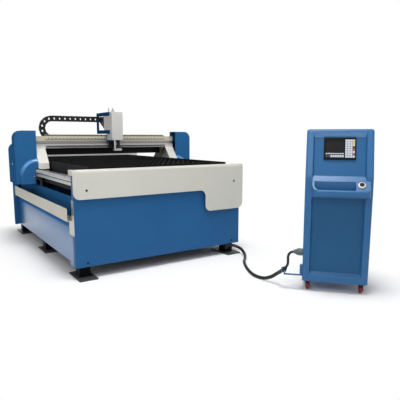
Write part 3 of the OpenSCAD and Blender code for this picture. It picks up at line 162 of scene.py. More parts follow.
def surface(name, color, rough, metal=0.0, vary=0.06, blotch=2.2, grain=700.0, bump=0.08, spread=0.07,
            stretch=(1.0, 1.0, 1.0), coat=0.0, specular=0.5, wear_and_glint=None, wear_and_glint_amount=0.0, painted_light_fade=None,
            sheen=None):
    """A finish with slow colour drift, fine grain in roughness and bump, and scuffs in a second colour when
    one is given, which on the slats are painted glints; the height blend (height, height, colour at the
    first) paints light and shade, and sheen gives the heights where gloss starts and is full."""
    mat = bpy.data.materials.new(name)
    mat.use_nodes = True
    nt = mat.node_tree
    bsdf = nt.nodes["Principled BSDF"]
    coord = nt.nodes.new("ShaderNodeTexCoord")
    mapping = nt.nodes.new("ShaderNodeMapping")
    mapping.inputs["Scale"].default_value = stretch
    nt.links.new(coord.outputs["Object"], mapping.inputs["Vector"])
    vector = mapping.outputs["Vector"]
    base = ramp(nt, noise(nt, vector, blotch, DRIFT_DETAIL),
                (DRIFT_LOW, shade_of(color, 1.0 - vary)), (DRIFT_HIGH, shade_of(color, 1.0 + vary)))
    if wear_and_glint is not None:
        scuffs_and_glints = noise(nt, vector, SCUFF_GLINT_SCALE, SCUFF_GLINT_DETAIL, SCUFF_GLINT_ROUGH)
        base = mix(nt, span(nt, scuffs_and_glints, SCUFF_GLINT_LOW, SCUFF_GLINT_HIGH, 0.0, wear_and_glint_amount), base, wear_and_glint)
    if painted_light_fade is not None:
        base = mix(nt, span(nt, height_of(nt, coord), painted_light_fade[0], painted_light_fade[1], 0.0, 1.0), painted_light_fade[2], base)
    fine = noise(nt, vector, grain, GRAIN_DETAIL)
    gloss = span(nt, fine, GRAIN_LOW, GRAIN_HIGH, rough - spread, rough + spread)
    relief = nt.nodes.new("ShaderNodeBump")
    relief.inputs["Strength"].default_value = bump
    relief.inputs["Distance"].default_value = BUMP_DEPTH
    nt.links.new(fine, relief.inputs["Height"])
    nt.links.new(base, bsdf.inputs["Base Color"])
    nt.links.new(gloss, bsdf.inputs["Roughness"])
    nt.links.new(relief.outputs["Normal"], bsdf.inputs["Normal"])
    bsdf.inputs["Metallic"].default_value = metal
    bsdf.inputs["Coat Roughness"].default_value = COAT_ROUGHNESS
    for key, amount in (("Coat Weight", coat), ("Specular IOR Level", specular)):
        bsdf.inputs[key].default_value = amount
        if sheen is not None:
            nt.links.new(span(nt, height_of(nt, coord), sheen[0], sheen[1], 0.0, amount), bsdf.inputs[key])
    return mat


ALONG_X = (0.03, 1.0, 1.0)
ALONG_Y = (1.0, 0.03, 1.0)
# A lighter, greyer copy of the blue paint for covers, ledges and rear housing: painted light
MATTE_LIT_BLUE = srgb(42, 94, 142)
HIGHLIGHT_HEIGHTS = (0.80, 0.93)
mats = {
    "blue": surface("blue_paint", srgb(26, 85, 135), 0.5, specular=0.22),
    "blue_matte": surface("matte_blue_painted_light", MATTE_LIT_BLUE, 0.6, specular=0.0),
    # A darker copy of the blue paint for the chain bracket: painted shade
    "blue_shade": surface("bracket_blue_painted_shade", srgb(20, 70, 114), 0.6, specular=0.0),
    # Painted highlight: a lighter blue, blending up from the matte blue by height, for the fender's rim and
    # the console's top reveal
    "blue_painted_highlight": surface("painted_highlight_blue", srgb(72, 130, 184), 0.25, vary=0.05, spread=0.05, coat=0.4,
                        painted_light_fade=HIGHLIGHT_HEIGHTS + (MATTE_LIT_BLUE,), sheen=HIGHLIGHT_HEIGHTS),
    # Lighter than the blue paint: painted sheen on the side sheets, beside their real gloss
    "blue_gloss_painted_sheen": surface("gloss_blue_painted_sheen", srgb(44, 104, 160), 0.22, spread=0.05, coat=0.25,
                          sheen=(0.45, 0.3)),
    "blue_console": surface("console_paint", srgb(30, 92, 142), 0.45, bump=0.12, specular=0.35, coat=0.2),
    # A darker copy of the console blue for the recessed upper panel and the sills: painted shade
    "blue_panel_shaded": surface("upper_panel_painted_shade", srgb(26, 86, 134), 0.5, bump=0.12, specular=0.3),
    # A darker copy again for the lower panel, which leans down: painted shade
    "blue_lower_shaded": surface("lower_panel_painted_shade", srgb(20, 79, 122), 0.5, bump=0.12, specular=0.3),
    "cream": surface("cream_paint", srgb(194, 193, 184), 0.45, vary=0.03, coat=0.1),
    "trough": surface("trough_paint", srgb(196, 194, 180), 0.5, vary=0.05, wear_and_glint=srgb(120, 116, 104),
                      wear_and_glint_amount=0.25),
    "white": surface("white_paint", srgb(206, 205, 200), 0.45, vary=0.03, coat=0.1),
    "flange": surface("flange_zinc", srgb(136, 147, 154), 0.42, metal=0.5, blotch=30.0),
    "grey": surface("grey_paint", srgb(204, 203, 200), 0.48, vary=0.03, bump=0.12, specular=0.35),
    "black": surface("black_paint", srgb(16, 17, 18), 0.55, vary=0.2, bump=0.15, specular=0.25),
    "frame": surface("frame_paint", srgb(9, 9, 10), 0.6, vary=0.2, bump=0.15, specular=0.08),
    "pad": surface("pad_steel", srgb(60, 63, 62), 0.55, vary=0.15, bump=0.15, specular=0.25),
    "strip": surface("rear_strip_steel", srgb(196, 197, 199), 0.45, metal=0.1, vary=0.08, stretch=ALONG_X),
    "tray": surface("tray_paint", srgb(11, 12, 13), 0.6, vary=0.2, bump=0.15, specular=0.12),
    # Slats: tops lighter than the steel below, painted highlights on the teeth and painted shade between
    # them; the scuffs are painted glints
    "slat": surface("slat_steel_painted_light", srgb(40, 41, 40), 0.6, vary=0.3, blotch=9.0, grain=350.0, bump=0.3,
                    specular=0.15, wear_and_glint=srgb(120, 120, 114), wear_and_glint_amount=0.6,
                    painted_light_fade=(0.938, 0.949, srgb(12, 13, 13))),
    "rail": surface("rail_metal", srgb(196, 198, 198), 0.38, metal=0.35, vary=0.05, grain=260.0, bump=0.05,
                    stretch=ALONG_Y),
    "beam": surface("beam_metal", srgb(150, 145, 149), 0.36, metal=0.6, vary=0.07, grain=260.0, bump=0.05,
                    stretch=ALONG_X),
    # Lighter and darker copies of the beam metal: painted highlights on the upper rail and bands of the
    # beam, painted shade on the lower guide rail
    "beam_painted_highlight": surface("beam_metal_painted_highlight", srgb(196, 192, 172), 0.4, metal=0.3, vary=0.05, grain=260.0,
                         bump=0.05, stretch=ALONG_X),
    "beam_low_painted_highlight": surface("beam_low_metal_painted_highlight", srgb(184, 183, 184), 0.4, metal=0.3, vary=0.05, grain=260.0,
                        bump=0.05, stretch=ALONG_X),
    "guide": surface("guide_steel_painted_shade", srgb(92, 90, 92), 0.35, metal=0.6, grain=300.0, bump=0.04,
                     stretch=ALONG_X),
    "steel": surface("bright_steel", srgb(172, 174, 177), 0.28, metal=1.0, grain=300.0, bump=0.04,
                     stretch=ALONG_Y),
    "rack": surface("rack_steel", srgb(86, 83, 46), 0.45, metal=0.2, vary=0.08, grain=300.0, bump=0.06,
                    stretch=ALONG_X),
    "chrome": surface("bright_rod", srgb(205, 207, 210), 0.16, metal=1.0, vary=0.03, grain=500.0, bump=0.01,
                      spread=0.04),
    "alloy": surface("clamp_alloy", srgb(200, 202, 205), 0.36, metal=0.9, vary=0.05, grain=420.0),
    "chain": surface("chain_plastic", srgb(17, 17, 18), 0.5, vary=0.15, grain=500.0, bump=0.1, specular=0.3),
    "rubber": surface("cord_rubber", srgb(22, 22, 24), 0.42, vary=0.15, grain=420.0, bump=0.12,
                      specular=0.35),
    "motor": surface("motor_paint", srgb(40, 41, 44), 0.45, vary=0.1),
    "panel": surface("panel_plastic", srgb(10, 11, 13), 0.45, vary=0.12, grain=900.0, bump=0.06,
                     specular=0.1),
    "key": surface("key_plastic", srgb(188, 192, 202), 0.4, vary=0.04, blotch=40.0),
    "key_dark": surface("dark_key_plastic", srgb(56, 60, 66), 0.4, vary=0.08, blotch=40.0, specular=0.3),
    "key_gold": surface("gold_key_plastic", srgb(206, 190, 128), 0.4, vary=0.05, blotch=40.0),
    "key_red": surface("red_key_plastic", srgb(150, 66, 66), 0.4, vary=0.05, blotch=40.0),
    "glass": surface("screen_glass", srgb(26, 24, 25), 0.42, vary=0.25, blotch=14.0, bump=0.0, specular=0.1),
    "plug": surface("plug_plastic", srgb(84, 96, 102), 0.5, vary=0.08, grain=420.0, bump=0.15,
                    specular=0.35),
    "ring": surface("ring_white", srgb(226, 224, 216), 0.35, vary=0.03, blotch=30.0),
    "cap": surface("cap_plastic", srgb(30, 17, 12), 0.5, vary=0.12, blotch=30.0, specular=0.12),
    "wheel": surface("wheel_red", srgb(128, 34, 33), 0.45, vary=0.12, blotch=24.0, specular=0.35),
    "fork": surface("fork_paint", srgb(40, 18, 19), 0.5, vary=0.15, blotch=20.0, specular=0.35),
    "brass": surface("nozzle_metal", srgb(96, 78, 62), 0.4, metal=0.8, vary=0.12, blotch=60.0),
    "pale": surface("pale_plastic", srgb(158, 160, 160), 0.45, vary=0.05, blotch=40.0),
}


# Stage, light and background
WORLD_LIGHT, WORLD_SEEN = 0.42, 1.0
FLOOR_WHITE = (0.92, 0.92, 0.92, 1.0)
FLOOR_HALF = 60.0
FLOOR_DROP = 0.0005
# Middle and half size of the floor under the table and under the console, where shadows show in full
SHADOW_AREAS = (((0.0, 0.0, 0.0), (0.85, 1.2, 1.0)), ((0.83, -2.5, 0.0), (0.25, 0.25, 1.0)))
SHADOW_FADE = 0.5


def light_path_white(nt):
    """One where a ray from the camera, or one that a mirror or glass sends on, meets the stage."""
    path = nt.nodes.new("ShaderNodeLightPath")
    value = path.outputs["Is Camera Ray"]
    for key in ("Is Glossy Ray", "Is Transmission Ray"):
        m = nt.nodes.new("ShaderNodeMath")
        m.operation = "MAXIMUM"
        nt.links.new(value, m.inputs[0])
        nt.links.new(path.outputs[key], m.inputs[1])
        value = m.outputs[0]
    return value


def make_world():
    world = bpy.data.worlds.new("studio")
    scene.world = world
    world.use_nodes = True
    nt = world.node_tree
    nt.nodes.clear()
    out = nt.nodes.new("ShaderNodeOutputWorld")
    blend = nt.nodes.new("ShaderNodeMixShader")
    for i, strength in ((1, WORLD_LIGHT), (2, WORLD_SEEN)):
        bg = nt.nodes.new("ShaderNodeBackground")
        bg.inputs["Color"].default_value = (1.0, 1.0, 1.0, 1.0)
        bg.inputs["Strength"].default_value = strength
        nt.links.new(bg.outputs[0], blend.inputs[i])
    nt.links.new(light_path_white(nt), blend.inputs[0])
    nt.links.new(blend.outputs[0], out.inputs["Surface"])


def distance_to_box(nt, point, middle, half):
    value = point
    for how, v in (("SUBTRACT", middle), ("ABSOLUTE", None), ("SUBTRACT", half),
                   ("MAXIMUM", (0.0, 0.0, 0.0)), ("LENGTH", None)):
        step = nt.nodes.new("ShaderNodeVectorMath")
        step.operation = how
        nt.links.new(value, step.inputs[0])
        if v is not None:
            step.inputs[1].default_value = v
        value = step.outputs["Value" if how == "LENGTH" else "Vector"]
    return value


def floor_material():
    """A pale floor that turns to plain white, as the camera sees it, away from the object."""
    mat = bpy.data.materials.new("floor")
    mat.use_nodes = True
    nt = mat.node_tree
    nt.nodes.clear()
    out = nt.nodes.new("ShaderNodeOutputMaterial")
    blend = nt.nodes.new("ShaderNodeMixShader")
    diffuse = nt.nodes.new("ShaderNodeBsdfDiffuse")
    diffuse.inputs["Color"].default_value = FLOOR_WHITE
    glow = nt.nodes.new("ShaderNodeEmission")
    glow.inputs["Strength"].default_value = 1.0
    coord = nt.nodes.new("ShaderNodeTexCoord")
    near = nt.nodes.new("ShaderNodeMath")
    near.operation = "MINIMUM"
    for i, (middle, half) in enumerate(SHADOW_AREAS):
        nt.links.new(distance_to_box(nt, coord.outputs["Object"], middle, half), near.inputs[i])
    share = nt.nodes.new("ShaderNodeMath")
    share.operation = "MULTIPLY"
    nt.links.new(light_path_white(nt), share.inputs[0])
    nt.links.new(span(nt, near.outputs[0], 0.0, SHADOW_FADE, 0.0, 1.0), share.inputs[1])
    nt.links.new(share.outputs[0], blend.inputs[0])
    nt.links.new(diffuse.outputs[0], blend.inputs[1])
    nt.links.new(glow.outputs[0], blend.inputs[2])
    nt.links.new(blend.outputs[0], out.inputs["Surface"])
    return mat


def make_floor():
    bm = bmesh.new()
    bmesh.ops.create_grid(bm, x_segments=1, y_segments=1, size=FLOOR_HALF)
    mesh = bpy.data.meshes.new("floor")
    bm.to_mesh(mesh)
    bm.free()
    floor = bpy.data.objects.new("floor", mesh)
    floor.location = (0.0, 0.0, -FLOOR_DROP)
    floor.data.materials.append(floor_material())
    scene.collection.objects.link(floor)


def area_light(name, at, target, size, watts):
    data = bpy.data.lights.new(name, "AREA")
    data.shape = "DISK"
    data.size = size
    data.energy = watts
    lamp = bpy.data.objects.new(name, data)
    lamp.location = at
    lamp.rotation_mode = "QUATERNION"
    lamp.rotation_quaternion = (Vector(target) - Vector(at)).to_track_quat("-Z", "Y")
    scene.collection.objects.link(lamp)


make_world()
make_floor()
area_light("key", (-3.3, -4.4, 3.6), (0.1, -1.0, 0.6), size=3.0, watts=70.0)
area_light("top", (-0.4, -2.7, 5.4), (0.0, -0.9, 0.0), size=2.2, watts=200.0)
area_light("fill", (5.2, -5.0, 3.0), (0.5, -1.2, 0.6), size=3.5, watts=18.0)
area_light("rear", (1.0, 6.5, 3.6), (0.0, 1.0, 0.6), size=4.0, watts=90.0)


# Mesh building
SMOOTH_DEGREES = 35.0
FLAT_DEGREES = 0.6
SOFT_DEGREES, SOFT_SEGMENTS = 25, 2
FULL_TURN = 2 * math.pi


def skin(bm, rings):
    """Joins rings of vertices with faces and closes both ends."""
    faces = [bm.faces.new(rings[0]), bm.faces.new(rings[-1][::-1])]
    for a, b in zip(rings, rings[1:]):
        for k in range(len(a)):
            j = (k + 1) % len(a)
            faces.append(bm.faces.new((a[k], b[k], b[j], a[j])))
    bmesh.ops.recalc_face_normals(bm, faces=faces)


def prism(outline, axis, a, b, bm=None):
    """A closed outline drawn out along one axis from a to b, as a new mesh or added to bm."""
    def place(p, t):
        return {"x": (t, p[0], p[1]), "y": (p[0], t, p[1]), "z": (p[0], p[1], t)}[axis]

    if bm is None:
        bm = bmesh.new()
    skin(bm, [[bm.verts.new(place(p, t)) for p in outline] for t in (a, b)])
    return bm


def slab(lo, hi, bm=None):
    outline = [(lo[0], lo[1]), (hi[0], lo[1]), (hi[0], hi[1]), (lo[0], hi[1])]
    return prism(outline, "z", lo[2], hi[2], bm)


def lathe(profile, place=None, steps=32, bm=None):
    """A shape turned about Z from (radius, height) points, as a new mesh or added to bm; the profile starts
    and ends on the axis."""
    if bm is None:
        bm = bmesh.new()
    rings = []
    for r, z in profile:
        around = range(steps if r else 1)
        angles = [FULL_TURN / steps * k for k in around]
        rings.append([bm.verts.new((r * math.cos(a), r * math.sin(a), z)) for a in angles])
    faces = []
    for a, b in zip(rings, rings[1:]):
        for k in range(steps):
            j = (k + 1) % steps
            loop = [a[k % len(a)], a[j % len(a)], b[j % len(b)], b[k % len(b)]]
            loop = [v for i, v in enumerate(loop) if v not in loop[:i]]
            if len(loop) > 2:
                faces.append(bm.faces.new(loop))
    bmesh.ops.recalc_face_normals(bm, faces=faces)
    if place is not None:
        bmesh.ops.transform(bm, matrix=place, verts=[v for ring in rings for v in ring])
    return bm


def arc(cx, cy, r, a0, a1, n=10):
    out = []
    for k in range(n + 1):
        a = math.radians(a0 + (a1 - a0) * k / n)
        out.append((cx + r * math.cos(a), cy + r * math.sin(a)))
    return out


def sharp_edges(bm, degrees):
    limit = math.radians(degrees)
    return [e for e in bm.edges if len(e.link_faces) == 2 and e.calc_face_angle(0.0) > limit]


def convex_edges(bm, degrees):
    return [e for e in sharp_edges(bm, degrees) if e.is_convex]


def bevel(bm, edges, width, segments):
    bmesh.ops.bevel(bm, geom=edges, offset=width, offset_type="OFFSET", segments=segments, profile=0.5,
                    affect="EDGES", clamp_overlap=True)


def join_flats(bm, same=1e-3):
    """Merges doubled vertices and the faces that lie in one plane."""
    bmesh.ops.remove_doubles(bm, verts=bm.verts, dist=same)
    bmesh.ops.dissolve_limit(bm, angle_limit=math.radians(FLAT_DEGREES), verts=bm.verts, edges=bm.edges)


def scratch_object(bm):
    mesh = bpy.data.meshes.new("scratch")
    bm.to_mesh(mesh)
    bm.free()
    obj = bpy.data.objects.new("scratch", mesh)
    scene.collection.objects.link(obj)
    return obj


def applied(objects):
    """The first object's mesh with its modifiers; all the objects are removed."""
    bpy.context.view_layer.update()
    shown = objects[0].evaluated_get(bpy.context.evaluated_depsgraph_get())
    mesh = bpy.data.meshes.new_from_object(shown)
    out = bmesh.new()
    out.from_mesh(mesh)
    bpy.data.meshes.remove(mesh)
    for obj in objects:
        data = obj.data
        bpy.data.objects.remove(obj)
        bpy.data.meshes.remove(data)
    return out


def boolean(bm, tool, how):
    """The first mesh joined with, cut by or kept inside the second; both are used up."""
    objects = [scratch_object(bm), scratch_object(tool)]
    m = objects[0].modifiers.new("boolean", "BOOLEAN")
    m.operation = how
    m.solver = "EXACT"
    m.object = objects[1]
    return applied(objects)


def cut(bm, tools):
    for tool in tools:
        bm = boolean(bm, tool, "DIFFERENCE")
    return bm


def thicken(bm, thickness):
    """Gives an open sheet its thickness on the inner side."""
    obj = scratch_object(bm)
    m = obj.modifiers.new("sheet", "SOLIDIFY")
    m.thickness = thickness
    m.offset = -1.0
    m.use_even_offset = True
    return applied([obj])


def make(name, bm, material, body=None, place=None, metres=False):
    """Turns a mesh in millimetres into a piece; a list of materials goes with the faces' own numbers."""
    if place is not None:
        bm.transform(place)
    if not metres:
        bm.transform(TO_METRES)
    bm.normal_update()
    mesh = bpy.data.meshes.new(name)
    bm.to_mesh(mesh)
    bm.free()
    for p in mesh.polygons:
        p.use_smooth = True
    mesh.set_sharp_from_angle(angle=math.radians(SMOOTH_DEGREES))
    for m in (material if isinstance(material, list) else [material]):
        mesh.materials.append(mats[m])
    obj = bpy.data.objects.new(name, mesh)
    scene.collection.objects.link(obj)
    flats = obj.modifiers.new("flat_shading", "WEIGHTED_NORMAL")
    flats.keep_sharp = True
    flats.weight = 100
    if body is not None:
        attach(obj, body)
    return obj


def soften(node, width, material, pick=None, part_at=None):
    """A copy of a CAD node with rounded edges, which stands for it; pick numbers each face's material, and
    faces that cross the height part_at are parted there first."""
    source = nodes[node]
    bm = bmesh.new()
    bm.from_mesh(source.data)
    join_flats(bm, 1e-6)
    if part_at is not None:
        bmesh.ops.bisect_plane(bm, geom=bm.verts[:] + bm.edges[:] + bm.faces[:], plane_co=(0, 0, part_at),
                               plane_no=(0, 0, 1))
    for f in bm.faces:
        f.material_index = pick(f) if pick else 0
    bevel(bm, sharp_edges(bm, SOFT_DEGREES), width * MM, SOFT_SEGMENTS)
    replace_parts(make(node + "_piece", bm, material, source["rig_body"], metres=True), node)


def paint(node, material):
    data = nodes[node].data
    data.materials.clear()
    data.materials.append(mats[material])


# Cords, along the routes of the solids
CORD_STEPS = 6
CORD_SIDES = 16


def spline(points, steps):
    out = []
    last = len(points) - 1
    for i in range(last):
        a, b = Vector(points[max(i - 1, 0)]), Vector(points[i])
        c, d = Vector(points[i + 1]), Vector(points[min(i + 2, last)])
        for k in range(steps):
            t = k / steps
            out.append(0.5 * (2 * b + (c - a) * t + (2 * a - 5 * b + 4 * c - d) * t * t
                              + (3 * b - a - 3 * c + d) * t * t * t))
    out.append(Vector(points[last]))
    return out


def tube(path, radius):
    bm = bmesh.new()
    rings = []
    side = None
    for i, p in enumerate(path):
        ahead = (path[min(i + 1, len(path) - 1)] - path[max(i - 1, 0)]).normalized()
        if side is None:
            side = ahead.cross(Vector((0.0, 0.0, 1.0))).normalized()
        side = (side - ahead * side.dot(ahead)).normalized()
        up = side.cross(ahead)
        angles = [FULL_TURN * k / CORD_SIDES for k in range(CORD_SIDES)]
        rings.append([bm.verts.new(p + radius * (math.cos(a) * side + math.sin(a) * up)) for a in angles])
    skin(bm, rings)
    return bm


def cord_piece(name, route, diameter, node):
    path = [p * MM for p in spline(route, CORD_STEPS)]
    obj = make(name, tube(path, diameter / 2 * MM), "rubber", "table", metres=True)
    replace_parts(obj, node)
    return obj, path


conduit_route = [(740, -1205, 85), (800, -1218, 82), (836.55, -1288.06, 60), (811.1, -1386.12, 32),
                 (742.19, -1482.25, 17), (653.29, -1578.37, 16), (574.93, -1692.56, 16),
                 (506.58, -1816.74, 16), (458.22, -1950.93, 16), (464.32, -2057.05, 18),
                 (475.41, -2143.18, 50), (478.96, -2221.24, 104), (458.96, -2305.24, 157),
                 (462.96, -2323.24, 177)]
cable_route = [(462.96, -2323.24, 177), (476.58, -2330.65, 205), (484.21, -2326.06, 235),
               (488.83, -2321.48, 265), (501.46, -2326.89, 292), (524.08, -2343.3, 305)]
conduit, conduit_path = cord_piece("conduit_hose", conduit_route, 30, "conduit")
cable, cable_path = cord_piece("console_lead", cable_route, 20, "console_cable")


# CAD nodes that keep their shape and only get a finish
# The slats' material carries painted highlights, painted shade and painted glints
for node, material in (("slats", "slat"), ("table_rails", "steel"), ("left_pinion", "steel"),
                       ("right_pinion", "steel"), ("x_pinion", "steel"), ("lift_screw", "chrome")):
    paint(node, material)

# CAD nodes that get rounded edges and one finish
for node, width, material in (
        ("floor_pads", 2.0, "pad"), ("frame_posts", 1.8, "frame"), ("frame_rails", 1.5, "frame"),
        # The rear housing takes the lighter copy of the blue paint: painted light
        ("front_panel", 1.2, "blue"), ("rear_housing", 1.2, "blue_matte"), ("front_apron", 1.2, "cream"),
        ("bed_tray", 1.2, "tray"), ("chain_trough", 1.2, "trough"), ("gantry_legs", 3.0, "white"),
        ("tie_plate", 1.4, "black"), ("guide_blocks", 1.2, "steel"), ("y_motors", 4.0, "motor"),
        ("head_motors", 3.0, "motor"), ("torch_clamp", 3.0, "alloy"), ("control_panel", 2.0, "panel"),
        ("console_back_panel", 1.2, "blue_console"), ("cable_arm", 1.5, "blue_console"),
        ("drive_box", 3.0, "grey"), ("screen", 0.3, "glass"), ("cable_gland", 2.0, "chain")):
    soften(node, width, material)
CORNERS = ("front_left", "front_right", "rear_left", "rear_right")
for corner in CORNERS:
    soften("fork_" + corner, 1.2, "fork")
for corner in CORNERS:
    soften("wheel_" + corner, 4.0, "wheel")


# CAD nodes that get rounded edges and several finishes, by where a face lies; some of these finishes paint
# light and shade, as noted at each
SIDE_PANEL_OUTER_X = 0.8675
LOWER_CONSOLE_PANEL_TOP = 0.85
FLANGE_LOW = 0.5635
PLATE_BLUE_LOW = 1.1515
REAR_STRIP_LOW = 0.9312
RACK_LOW, LOWER_GUIDE_TOP = 1.21, 1.15
BEAM_BACK_Y = 0.1195
BEAM_PALE_LOW, BEAM_MIDDLE_LOW, BEAM_PAINTED_LIGHT_TOP = 1.1635, 1.1325, 1.11
RIGHT_ROD = ((0.03, -0.056, 1.05), (0.058, -0.034, 1.6))
BOOT = ((-0.047, 0.16, 1.295), (0.0, 0.36, 1.447))
# Spans in X, from the middle of the table, and in Z of the grooves in the rail beams, painted black as
# painted shade
RAIL_GROOVE = ((0.8605, 0.8665), (0.832, 0.8415))
RAIL_SLOT = ((0.8215, 0.8305), (0.8445, 0.8519))


def middle_of(f):
    return f.calc_center_median()


def within(f, low, high):
    return all(low[i] <= v.co[i] <= high[i] for v in f.verts for i in range(3))


def side_panel_sheen_pick(f):
    return int(abs(f.normal.x) > 0.9 and abs(middle_of(f).x) > SIDE_PANEL_OUTER_X)


# Groove faces take the black frame finish: painted shade in the grooves
def rail_groove_shade_pick(f):
    c = middle_of(f)
    return int(any(x0 < abs(c.x) < x1 and z0 < c.z < z1 for (x0, x1), (z0, z1) in (RAIL_GROOVE, RAIL_SLOT)))


# The upper guide rail takes the pale tone, painted highlight, and the lower rail the dark guide steel,
# painted shade
def beam_rail_light_bands(f):
    z = middle_of(f).z
    return 1 if z > RACK_LOW else 2 * int(z < LOWER_GUIDE_TOP)


# Bands on the beam's front by height: a pale top band and a lighter low band, painted highlights, and a
# white strip under the lower guide rail, painted light over its shadow
def beam_light_bands(f):
    c = middle_of(f)
    if c.y > BEAM_BACK_Y:
        return 0
    if c.z > BEAM_PALE_LOW:
        return 1
    return 0 if c.z > BEAM_MIDDLE_LOW else 2 + int(c.z < BEAM_PAINTED_LIGHT_TOP)


# Outer faces of the side sheets take the gloss blue with painted sheen, the other faces the lighter matte
# copy, painted light
soften("side_panels", 1.2, ["blue_matte", "blue_gloss_painted_sheen"], side_panel_sheen_pick)
# The upper and lower console panels take the darker copies of the console blue: painted shade
soften("console_panels", 1.0, ["blue_panel_shaded", "blue_lower_shaded"],
       lambda f: int(middle_of(f).z < LOWER_CONSOLE_PANEL_TOP))
soften("trough_bracket", 1.2, ["white", "flange"], lambda f: int(middle_of(f).z > FLANGE_LOW))
soften("carriage_plate", 2.5, ["blue", "black"], lambda f: int(middle_of(f).z < PLATE_BLUE_LOW),
       part_at=PLATE_BLUE_LOW)
soften("rail_beams", 0.8, ["rail", "frame"], rail_groove_shade_pick)
soften("lift_slide", 1.2, ["chrome", "chain"], lambda f: int(within(f, *RIGHT_ROD)))
soften("rear_apron", 1.2, ["cream", "strip"], lambda f: int(middle_of(f).z > REAR_STRIP_LOW))
soften("beam_rails", 0.6, ["beam_painted_highlight", "rack", "guide"], beam_rail_light_bands)
soften("gantry_beam", 1.5, ["beam", "beam_painted_highlight", "beam_low_painted_highlight", "white"], beam_light_bands, part_at=BEAM_PAINTED_LIGHT_TOP)
# The chain bracket takes the darker blue, painted shade; its boot is black
soften("chain_bracket", 2.5, ["blue_shade", "chain"], lambda f: int(within(f, *BOOT)))


# Gantry end covers: bent sheet with rounded edges, open at the inner side and below
GANTRY_Y = 215
COVER_IN, COVER_OUT, COVER_FOOT = 843, 1058, 722
COVER_FRONT, COVER_STEP, COVER_BACK = -170, -30, 190
COVER_LOW_TOP, COVER_HIGH_TOP = 1148, 1275
COVER_CORNER_R = 80
COVER_EDGE_R = 9.0
COVER_SHEET = 3.0
FENDER_Z, FENDER_R = 800, 186
FENDER_FRONT, FENDER_BACK = -206, -150
FENDER_RIM = 34.0
PANEL_GAP_X, PANEL_GAP_TOP = 874, 882


def from_fender(p):
    """Distance from the middle of the fender's arch, or from the upright line below it."""
    return math.hypot(p.x - COVER_IN, max(p.z - FENDER_Z, 0))


def cover_piece(name, side, node):
    past = 40
    far_x, far_y, far_z = 1200, 400, 1400
    x0, z0 = COVER_IN - past, COVER_FOOT - past

    def face(top):
        corner = arc(COVER_OUT - COVER_CORNER_R, top - COVER_CORNER_R, COVER_CORNER_R, 0, 90)
        return [(x0, z0), (COVER_OUT, z0)] + corner + [(x0, top)]

    bm = prism(face(COVER_LOW_TOP), "y", COVER_FRONT, COVER_BACK)
    bm = boolean(bm, prism(face(COVER_HIGH_TOP), "y", COVER_FRONT, COVER_STEP), "UNION")
    arch = arc(COVER_IN, FENDER_Z, FENDER_R, 0, 90, 24)
    fender = prism([(x0, z0), (COVER_IN + FENDER_R, z0)] + arch + [(x0, FENDER_Z + FENDER_R)], "y",
                   FENDER_FRONT, FENDER_BACK)
    rim = [e for e in fender.edges
           if all(v.co.y < FENDER_FRONT + 1 and from_fender(v.co) > FENDER_R - 6 for v in e.verts)]
    bevel(fender, rim, FENDER_RIM, 8)
    bm = boolean(bm, fender, "UNION")
    join_flats(bm)
    bevel(bm, convex_edges(bm, 35), COVER_EDGE_R, 4)
    kept = [(PANEL_GAP_X, COVER_FOOT), (far_x, COVER_FOOT), (far_x, far_z), (COVER_IN, far_z),
            (COVER_IN, PANEL_GAP_TOP), (PANEL_GAP_X, PANEL_GAP_TOP)]
    bm = boolean(bm, prism(kept, "y", -far_y, far_y), "INTERSECT")
    bm.normal_update()
    inner = [f for f in bm.faces if f.normal.x < -0.999 or f.normal.z < -0.999]
    bmesh.ops.delete(bm, geom=inner, context="FACES")
    bm = thicken(bm, COVER_SHEET)
    bm.normal_update()
    # Faces on the fender's sloped rim take the lighter blue: a painted highlight along the arch
    for f in bm.faces:
        c = middle_of(f)
        f.material_index = int(c.y < COVER_FRONT - 1 and -0.9995 < f.normal.y < -0.02
                               and FENDER_R - 36 < from_fender(c) < FENDER_R + 1)
    if side < 0:
        bm.transform(Matrix.Scale(-1.0, 4, (1.0, 0.0, 0.0)))
        bmesh.ops.reverse_faces(bm, faces=bm.faces)
    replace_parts(make(name, bm, ["blue_matte", "blue_painted_highlight"], "gantry", shift(0, GANTRY_Y, 0)), node)


cover_piece("left_end_cover", -1, "left_cover")
cover_piece("right_end_cover", 1, "right_cover")


# Console shell
CONSOLE = shift(722, -2593, 0) @ turn(-48, "Z")
CONSOLE_HALF, CONSOLE_BACK = 245, 340
CONSOLE_FOOT, CONSOLE_TOP = 84, 1265
CONSOLE_FLOOR = 12
CONSOLE_WALL = 3
CONSOLE_EDGE_R = 18.0
BACK_OPENING_HALF, BACK_OPENING_LOW, BACK_OPENING_HIGH = 221, 120, 1241
LEDGE_LOW, LEDGE_HIGH = 778, 905
FOOT_FACE, LEDGE_FACE = -20, -50
UPPER_RUN, UPPER_RISE = 110, CONSOLE_TOP - LEDGE_HIGH
LEAN = math.atan(UPPER_RUN / UPPER_RISE)
RECESS = 25
WINDOW_HALF_FRONT, WINDOW_HALF_BACK = 194, 185
LOWER_WINDOW = ((138, 161), (752, 752))
UPPER_WINDOW = ((906, 906), (1240, 1203))
WINDOW_EDGE_R = 4.0
TOP_REVEAL_LOW = 1190
ARM_HALF = 191
CASTER_X, CASTER_YS, CASTER_HOLE_R = 201, (30, 284), 6.2


def face_at(z):
    """Where the console's front lies at a height."""
    if z < LEDGE_LOW:
        return FOOT_FACE + (LEDGE_FACE - FOOT_FACE) * (z - CONSOLE_FOOT) / (LEDGE_LOW - CONSOLE_FOOT)
    return LEDGE_FACE if z < LEDGE_HIGH else LEDGE_FACE + UPPER_RUN * (z - LEDGE_HIGH) / UPPER_RISE


